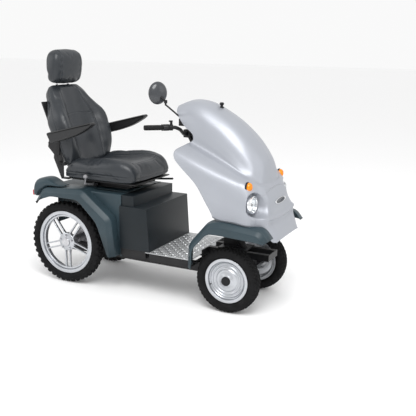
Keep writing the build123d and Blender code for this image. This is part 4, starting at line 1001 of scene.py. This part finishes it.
def back_relief(p):
    """Seams of the backrest: one along each bolster, one across the middle panel, one round the side."""
    up, out = back_place(p)
    across = np.abs(p[:, 1])
    half = np.interp(up, [row[0] for row in BACK], [row[1] for row in BACK])
    front = ease(out, -34, -14)
    line = half * 0.60 - 4
    panel = seam(across - line, 3.4) * front * ease(up, -20, 0) * (1 - ease(up, 508, 520))
    middle = seam(up - 318 + 14 * (across / 140) ** 2, 2.2, 2.8) * front * (1 - ease(across, line - 4, line))
    rim = seam(out + 26 - 34 * hump(up - 240, 150), 2.8, 3.0) * ease(across, half * 0.86, half * 0.93)
    lumbar = 7 * hump(up - 120, 80) * hump(across, 100) * front
    return panel + middle + rim + lumbar + creases(up, p[:, 1], 1.0) * (hump(across - line, 40) + 0.3)


def headrest_relief(p):
    """Seams of the headrest: one near each end, round the pad, and wrinkles that run out from them."""
    x, y, z = p.T
    across = np.abs(y)
    line = 104 - 6 * ((z - 805) / 90) ** 2
    round_it = seam(across - line, 3.0, 3.0)
    pulled = 1.6 * np.sin(z / 7.5 + 1.5 * np.sin(x / 18)) * hump(across - line, 16)
    return round_it + pulled * ease(x, -200, -150) + creases(z, y, 0.8)


def seat_pads():
    """Cushion, backrest and headrest as plump padded pieces with their seams."""
    cushion = lofted("cushion_pad", [round_ring([(x, y, z) for y, z in half]) for x, half in CUSHION], 8, 6, 9)
    plump(cushion, 6, 12, held=lambda p: ease(p[:, 2], 88, 104))
    emboss(cushion, cushion_relief)
    rings = []
    for up, half, bolster, rear in BACK:
        side = [(0, 0), (0, 0.40), (bolster * 0.30, 0.60), (bolster * 0.82, 0.76), (bolster, 0.88),
                (bolster * 0.66, 0.985), (-rear * 0.40, 1.0), (-rear * 0.88, 0.90), (-rear, 0.5), (-rear, 0)]
        ring = [on_back(up, out) for out, _ in side]
        rings.append(round_ring([(x, share * half, z) for (x, z), (_, share) in zip(ring, side)]))
    back = lofted("back_rest_pad", rings, 8, 6, 12)
    plump(back, 7, 12, held=lambda p: ease(back_place(p)[1], -76, -50))
    emboss(back, back_relief)
    turn = np.linspace(0, 2 * np.pi, 24, endpoint=False)
    c, n = np.cos(turn), np.sin(turn)
    rings = [np.stack([(rear + front) / 2 + (front - rear) / 2 * squared(c, 0.55), half * squared(n, 0.55),
                       np.full_like(c, z)], 1)
             for z, half, rear, front in HEADREST]
    head = lofted("headrest_cushion", rings, 8, 4, 9)
    plump(head, 5, 12)
    emboss(head, headrest_relief)
    for pad, body, node, fill in ((cushion, "seat_carriage", "seat_cushion", 0.85),
                                  (back, "backrest", "back_pad", 0.85), (head, "headrest", "headrest_pad", 0.9)):
        piece(pad, body, VINYL, "seat_vinyl", node)


def armrests():
    """Armrests: a tapering black pad with rounded edges and the boss it hinges on."""
    outline = [(-84, 384), (-50, 321), (60, 350), (174, 391), (262, 444), (282, 463), (270, 474), (120, 436)]
    radius = np.array([14, 16, 60, 60, 24, 9, 9, 50])
    side_view = rounded(outline, radius, 8) * MM + np.array([REAR_X, SEAT_Z])
    pad = outward(prism("armrest_pad_left", side_view, 288 * MM, 345 * MM, 11 * MM, steps=6))
    boss = [(260.5, 8.6), (260.5, 19), (263, 22), (284, 22), (292, 20), (292, 8.6)]
    boss = outward(revolve("armrest_boss_left", np.array(boss) * MM, (REAR_X - 52 * MM, 0, SEAT_Z + 349 * MM), 48))
    for part, finish, stands in ((pad, ARM_PAD, True), (boss, BLACK_STEEL, False)):
        other = mirrored(part.name.replace("left", "right"), part)
        piece(part, "armrest_left", finish, "black_plastic", "armrest_left" if stands else None)
        piece(other, "armrest_right", finish, "black_plastic", "armrest_right" if stands else None)


seat_pads()
armrests()


# ---------------------------------------------------------------- lamps, badge and mirror
def turned(name, section, corner, steps, centre, segments, axis):
    """A section of (along, radius) in mm with its corners rounded, turned about an axis through centre."""
    return outward(revolve(name, rounded(section, corner, steps) * MM, centre, segments, axis))


def oval(section, centre, turn, along, up, across):
    """A section of (distance along a normal, share of the half axes) in mm carried round an oval, whose half
    axes up and across are given as vectors."""
    far, share = section[:, 0][None] + 0 * turn, section[:, 1][None]
    return (centre + (far * MM)[..., None] * along + (np.cos(turn) * share * MM)[..., None] * up
            + (np.sin(turn) * share * MM)[..., None] * across)


def headlamp(side, name):
    """Round lamp: a bezel and a bowl with pressed facets in one turned section, a bulb, and a domed fluted lens."""
    centre = np.array([FRONT_X, side * LAMP[1] * MM, FRONT_Z + LAMP[2] * MM])
    ring = [(122, 0.5), (122, 30), (136, 52), (148, 54), (157, 54), (160, 52), (161, 50), (160, 47), (156, 46),
            (146, 43), (136, 34), (129, 18), (127, 0.5)]
    bowl = turned("lamp_bowl_" + name, ring, 2, 4, centre, 96, "x")
    points = coordinates(bowl)
    off = (points - centre) / MM
    turn = np.arctan2(off[:, 2], off[:, 1])
    facet = 1.3 * np.abs(np.sin(9 * turn)) * (off[:, 0] > 128) * (np.hypot(off[:, 1], off[:, 2]) < 45)
    points[:, 0] -= facet * MM
    set_coordinates(bowl, points)
    bulb = [(127, 0.5), (127, 9), (140, 9), (143, 7), (147, 6.5), (152, 3.5), (153, 0.2)]
    bulb = turned("lamp_bulb_" + name, bulb, 1, 3, centre, 32, "x")
    out = np.linspace(1, 0.002, 26)[:, None]
    turn = np.linspace(0, 2 * np.pi, 96, endpoint=False)[None]
    r = out * 46.4
    y, z = r * np.cos(turn), r * np.sin(turn)
    flute = 0.7 * np.abs(np.sin(y / 8 * np.pi / 2)) * (z < 8) + 0.9 * np.abs(np.sin(z / 12 * np.pi / 2)) * (z >= 8)
    x = 157 + 5.5 * (1 - out ** 2) + flute * ease(out * -1, -0.96, -0.86)
    lens = surface("lamp_lens_" + name, np.stack([x, y, z], -1) * MM + centre, close_v=True)
    finish_mesh(wall(lens, 1.6 * MM))
    return [(bowl, "chassis", CHROME, "chrome_bowl"), (bulb, "chassis", GREY_KNOB, "bright_steel"),
            (outward(lens), "chassis", LENS, "clear_lens")]


def indicator(side, name):
    """Amber dome with ring flutes over a black foot."""
    x, y, z = INDICATOR
    centre = np.array([FRONT_X, side * y * MM, FRONT_Z + z * MM])
    foot = [(x - 6, 0.3), (x - 6, 29), (x + 3, 30), (x + 6, 28), (x + 6, 0.3)]
    dome = [(x + 5, 0.3), (x + 5, 27), (x + 12, 26.5), (x + 19, 24), (x + 24, 18), (x + 26.5, 9), (x + 27, 0.3)]
    foot = turned("indicator_foot_" + name, foot, 1.5, 3, centre, 48, "x")
    line = through(np.array(dome[1:], float), 14)
    line[:, 0] += 0.5 * np.sin(line[:, 1] * 2 * np.pi / 3.2) * ease(26 - line[:, 1], 0.5, 3)
    line = np.vstack([[dome[0]], line])
    dome = revolve("indicator_dome_" + name, line * MM, centre, 64, axis="x")
    return [(foot, "chassis", BLACK_PLASTIC, "black_plastic"),
            (outward(dome), "chassis", AMBER_LENS, "amber_lens")]


def oval_badge():
    """Blank oval plate: a raised bright rim round a dark field, leaning with the nose."""
    half_tall, half_wide = 17, 86
    low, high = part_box("badge")
    height = (low.z + high.z) / 2
    line = NOSE_LINE[np.argsort(NOSE_LINE[:, 2])]
    ahead = np.interp([height - 16 * MM, height + 16 * MM], line[:, 2], line[:, 0])
    centre = np.array([ahead.mean() + 1.5 * MM, 0, height])
    tilt = math.atan2(32 * MM, ahead[0] - ahead[1])
    normal = np.array([math.sin(tilt), 0, math.cos(tilt)])
    up = np.array([-math.cos(tilt), 0, math.sin(tilt)])
    turn = np.linspace(0, 2 * np.pi, 96, endpoint=False)[:, None]
    rim = np.array([(-3, 0.99), (1.2, 1.0), (2.2, 0.97), (2.6, 0.93), (2.2, 0.88), (1.0, 0.86), (-3, 0.86)])
    field = np.array([(-3, 0.01), (-3, 0.87), (0.8, 0.87), (1.0, 0.83), (0.6, 0.78), (0.6, 0.01)])
    rim, field = (outward(surface(name, oval(section, centre, turn, normal, half_wide * np.array([0, 1, 0]),
                                             half_tall * up), close_u=True, close_v=True))
                  for name, section in (("badge_rim", rim), ("badge_plate", field)))
    return [(rim, "chassis", CHROME, "badge_plate"), (field, "chassis", BADGE_FIELD, "badge_plate")]


def mirror_parts():
    """Oval mirror: a domed shell round its glass, its arm and the hub on the stem's pin."""
    half_tall, half_wide = 68, 62
    neck = np.array([FRONT_X - 422 * MM, -270 * MM, FRONT_Z + 1054 * MM])
    centre = neck + np.array([-50, 0, 50]) * MM
    turn = math.radians(32)
    glass = np.array([-math.cos(turn), math.sin(turn), 0])
    side = np.array([math.sin(turn), math.cos(turn), 0])
    shell = np.array([(-22, 0.004), (-21.5, 0.22), (-19.5, 0.46), (-15, 0.68), (-8, 0.86), (0, 0.96), (6, 1.0),
                      (10, 0.995), (10.5, 0.965), (9, 0.945), (7.4, 0.94), (7.4, 0.004)])
    shell = rounded(shell * (1, half_wide), 2.0, 3) / (1, half_wide)
    pane = np.array([(7.6, 0.004), (7.6, 0.94), (8.3, 0.935), (8.5, 0.92), (8.5, 0.004)])
    angle = np.linspace(0, 2 * np.pi, 96, endpoint=False)[:, None]
    case, pane = (outward(surface(name, oval(section, centre, angle, glass, half_tall * np.array([0, 0, 1]),
                                             half_wide * side), close_u=True, close_v=True))
                  for name, section in (("mirror_case", shell), ("mirror_pane", pane)))
    start, end = neck + np.array([-34, 0, 30]) * MM, neck + np.array([-4, 0, 6]) * MM
    arm = tube("mirror_arm", start + (end - start) * np.linspace(0, 1, 12)[:, None], np.linspace(9, 6.5, 12) * MM)
    hub = [(-8, 5.6), (-8, 9), (-7, 10), (11, 10), (12, 9), (12, 5.6)]
    hub = outward(revolve("mirror_hub", np.array(hub, float) * MM, neck, 40, axis="z"))
    return [(case, "mirror", MIRROR_CASE, "black_plastic"), (pane, "mirror", MIRROR_GLASS, "chrome_bowl"),
            (outward(arm), "mirror", BLACK_PLASTIC, "black_plastic"), (hub, "mirror", BLACK_PLASTIC, "black_plastic")]


def front_lamps():
    """Both headlamps and indicators, the badge and the mirror, in place of their CAD nodes."""
    stands_for = {"lamp_bowl_right": "headlamp_bowls", "lamp_lens_right": "headlamp_lenses",
                  "indicator_dome_right": "indicator_lenses", "badge_rim": "badge", "mirror_case": "mirror_head"}
    rows = oval_badge() + mirror_parts()
    for side, name in ((-1, "right"), (1, "left")):
        rows += headlamp(side, name) + indicator(side, name)
    for part, body, finish, slot_name in rows:
        piece(part, body, finish, slot_name, stands_for.get(part.name))


front_lamps()


# ---------------------------------------------------------------- deck and small parts
def tread_lozenges():
    """Raised lozenges on the footboard in two alternating directions: each is a flat-topped low pyramid."""
    low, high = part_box("footboard")
    pitch = 33 * MM
    x = np.arange(low.x + 0.6 * pitch, high.x - 0.5 * pitch, pitch)
    y = np.arange(low.y + 0.6 * pitch, high.y - 0.5 * pitch, pitch)
    gx, gy = np.meshgrid(x, y, indexing="ij")
    i, j = np.meshgrid(np.arange(len(x)), np.arange(len(y)), indexing="ij")
    turn = np.radians(np.where((i + j) % 2 == 0, 45, -45)).ravel()
    unit = np.array([(-1, 0), (-0.5, -0.8), (0.5, -0.8), (1, 0), (0.5, 0.8), (-0.5, 0.8)])
    foot, top = unit * (15.5, 5.6) * MM, unit * (12.5, 3.4) * MM
    shape = np.vstack([np.c_[foot, np.full(6, -0.2 * MM)], np.c_[top, np.full(6, 1.7 * MM)]])
    c, n = np.cos(turn)[:, None], np.sin(turn)[:, None]
    px = gx.ravel()[:, None] + c * shape[:, 0] - n * shape[:, 1]
    py = gy.ravel()[:, None] + n * shape[:, 0] + c * shape[:, 1]
    pz = np.broadcast_to(high.z + shape[:, 2], px.shape)
    k = np.arange(6)
    sides = np.stack([k, (k + 1) % 6, (k + 1) % 6 + 6, k + 6], 1)
    lids = np.array([(6, 7, 8, 9), (6, 9, 10, 11), (3, 2, 1, 0), (5, 4, 3, 0)])
    faces = np.vstack([sides, lids])[None] + (np.arange(len(turn)) * 12)[:, None, None]
    made = mesh_object("tread_lozenges", np.stack([px, py, pz], -1).reshape(-1, 3), faces.reshape(-1, 4), False)
    piece(made, "chassis", TREAD_RAISED, "tread_plate")


def grip(side, name):
    """Rubber grip with a flange, ring ribs and a rounded end, along the bar's last run."""
    corner, end = front_place([(-404, side * 182, 896), (-553, side * 297, 894)])
    length = np.linalg.norm(end - corner)
    share = np.linspace(0.42, 1.03, 150)
    distance = share * length / MM
    ribs = 0.9 * np.abs(np.sin(distance * np.pi / 5.5)) * ease(share, 0.47, 0.50) * (1 - ease(share, 0.94, 0.97))
    radius = 15.6 + ribs + 5.2 * (1 - ease(share, 0.445, 0.458)) - 7 * ease(share, 1.0, 1.035) ** 2
    path = corner + (end - corner) * share[:, None]
    return outward(tube("grip_" + name, path, radius * MM, 40))


def tail_pod(side, name):
    """Rounded pod on the tail of the rear mudguard: a smooth loft of squarish rings."""
    rows = [(-236, 304, 342, 46), (-214, 300, 408, 62), (-172, 340, 430, 64), (-118, 374, 434, 62),
            (-60, 380, 408, 56), (-4, 384, 390, 44)]
    turn = np.linspace(0, 2 * np.pi, 20, endpoint=False)
    c, n = np.cos(turn), np.sin(turn)
    rings = [np.stack([np.full_like(c, x), side * 258 + half * squared(c, 0.6),
                       (low + high) / 2 + (high - low) / 2 * squared(n, 0.7)], 1)
             for x, low, high, half in rows]
    shift = np.array([0, 0, (REAR_Z - SEAT_Z) / MM])
    return lofted("tail_pod_" + name, np.array(rings) + shift, 8, 4, 5)


def shoulder_panel():
    """Moulded shoulder between the rear mudguard and the battery box: level on top, round at its corner, and
    down the side to the mudguard's top line."""
    x = np.linspace(172, 436, 60)
    top_line = np.interp(x, [row[0] for row in REAR_TOP[2:]] + [436], [row[1] for row in REAR_TOP[2:]] + [-28])
    low = np.minimum(360, top_line - 12)
    q = np.linspace(0, np.pi / 2, 7)
    across = np.concatenate([[166, 200, 230], 248 + 10 * np.sin(q), np.full(8, 258.0)])
    height = np.concatenate([[372, 372, 372], 362 + 10 * np.cos(q), np.full(8, 362.0)])
    drop = np.concatenate([np.zeros(10), np.linspace(0, 1, 9)[1:]])
    z = height[None] + drop[None] * (low - 362)[:, None]
    y = np.broadcast_to(across, z.shape)
    panel = surface("shoulder_left", rear_place(np.stack([np.broadcast_to(x[:, None], z.shape), y, z], -1)))
    return finish_mesh(wall(panel, 3 * MM))


def latch_knob():
    """Black latch knob on the hood: a section with a flange, a waist and a mushroom head, turned about Z."""
    low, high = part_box("hood_knob")
    foot = np.array([(low.x + high.x) / 2, 0, high.z - 34 * MM])
    shape = [(-24, 0.2), (-24, 6), (0, 6), (0, 15), (4, 15), (7, 9), (15, 8), (19, 13), (27, 14), (32, 11), (34, 0.2)]
    return turned("latch_knob", shape, 1.5, 3, foot, 48, "z")


tread_lozenges()
for side, name in ((-1, "right"), (1, "left")):
    piece(grip(side, name), "steering", GRIP, "grip_rubber", "grips" if side < 0 else None)
    piece(tail_pod(side, name), "chassis", SLATE, "slate_plastic", "tail_pods" if side < 0 else None)
piece(latch_knob(), "hood_knob", BLACK_PLASTIC, "black_plastic", "hood_knob")
both_sides(shoulder_panel(), "chassis", SLATE, "slate_plastic")

ROUNDED_NODES = [
    ("steering", BLACK_STEEL, "axle_steel", 2.0, "handlebar"),
    ("steering", BLACK_STEEL, "axle_steel", 2.0, "steering_shaft"),
    ("throttle", BLACK_PLASTIC, "black_plastic", 2.5, "throttle_lever"),
    ("chassis", BLACK_PLASTIC, "black_plastic", 2.0, "dash_panel mirror_stem"),
    ("speed_dial", BLACK_PLASTIC, "black_plastic", 2.0, "speed_dial"),
    ("charge_cap", BLACK_PLASTIC, "black_plastic", 1.5, "charge_cap"),
    ("swivel_lever", GREY_KNOB, "grey_knob", 1.2, "swivel_lever"),
    ("recline_lever", BLACK_PLASTIC, "black_plastic", 2.5, "recline_lever"),
    ("slide_lever", BLACK_PLASTIC, "black_plastic", 2.0, "slide_lever"),
    ("backrest", BLACK_STEEL, "frame_steel", 1.6, "back_frame"),
    ("seat_carriage", BLACK_STEEL, "frame_steel", 1.2, "seat_carriage"),
]
for body, finish, slot_name, width, names in ROUNDED_NODES:
    for node in names.split():
        piece(softened_copy(node, width * MM, 2), body, finish, slot_name, node)
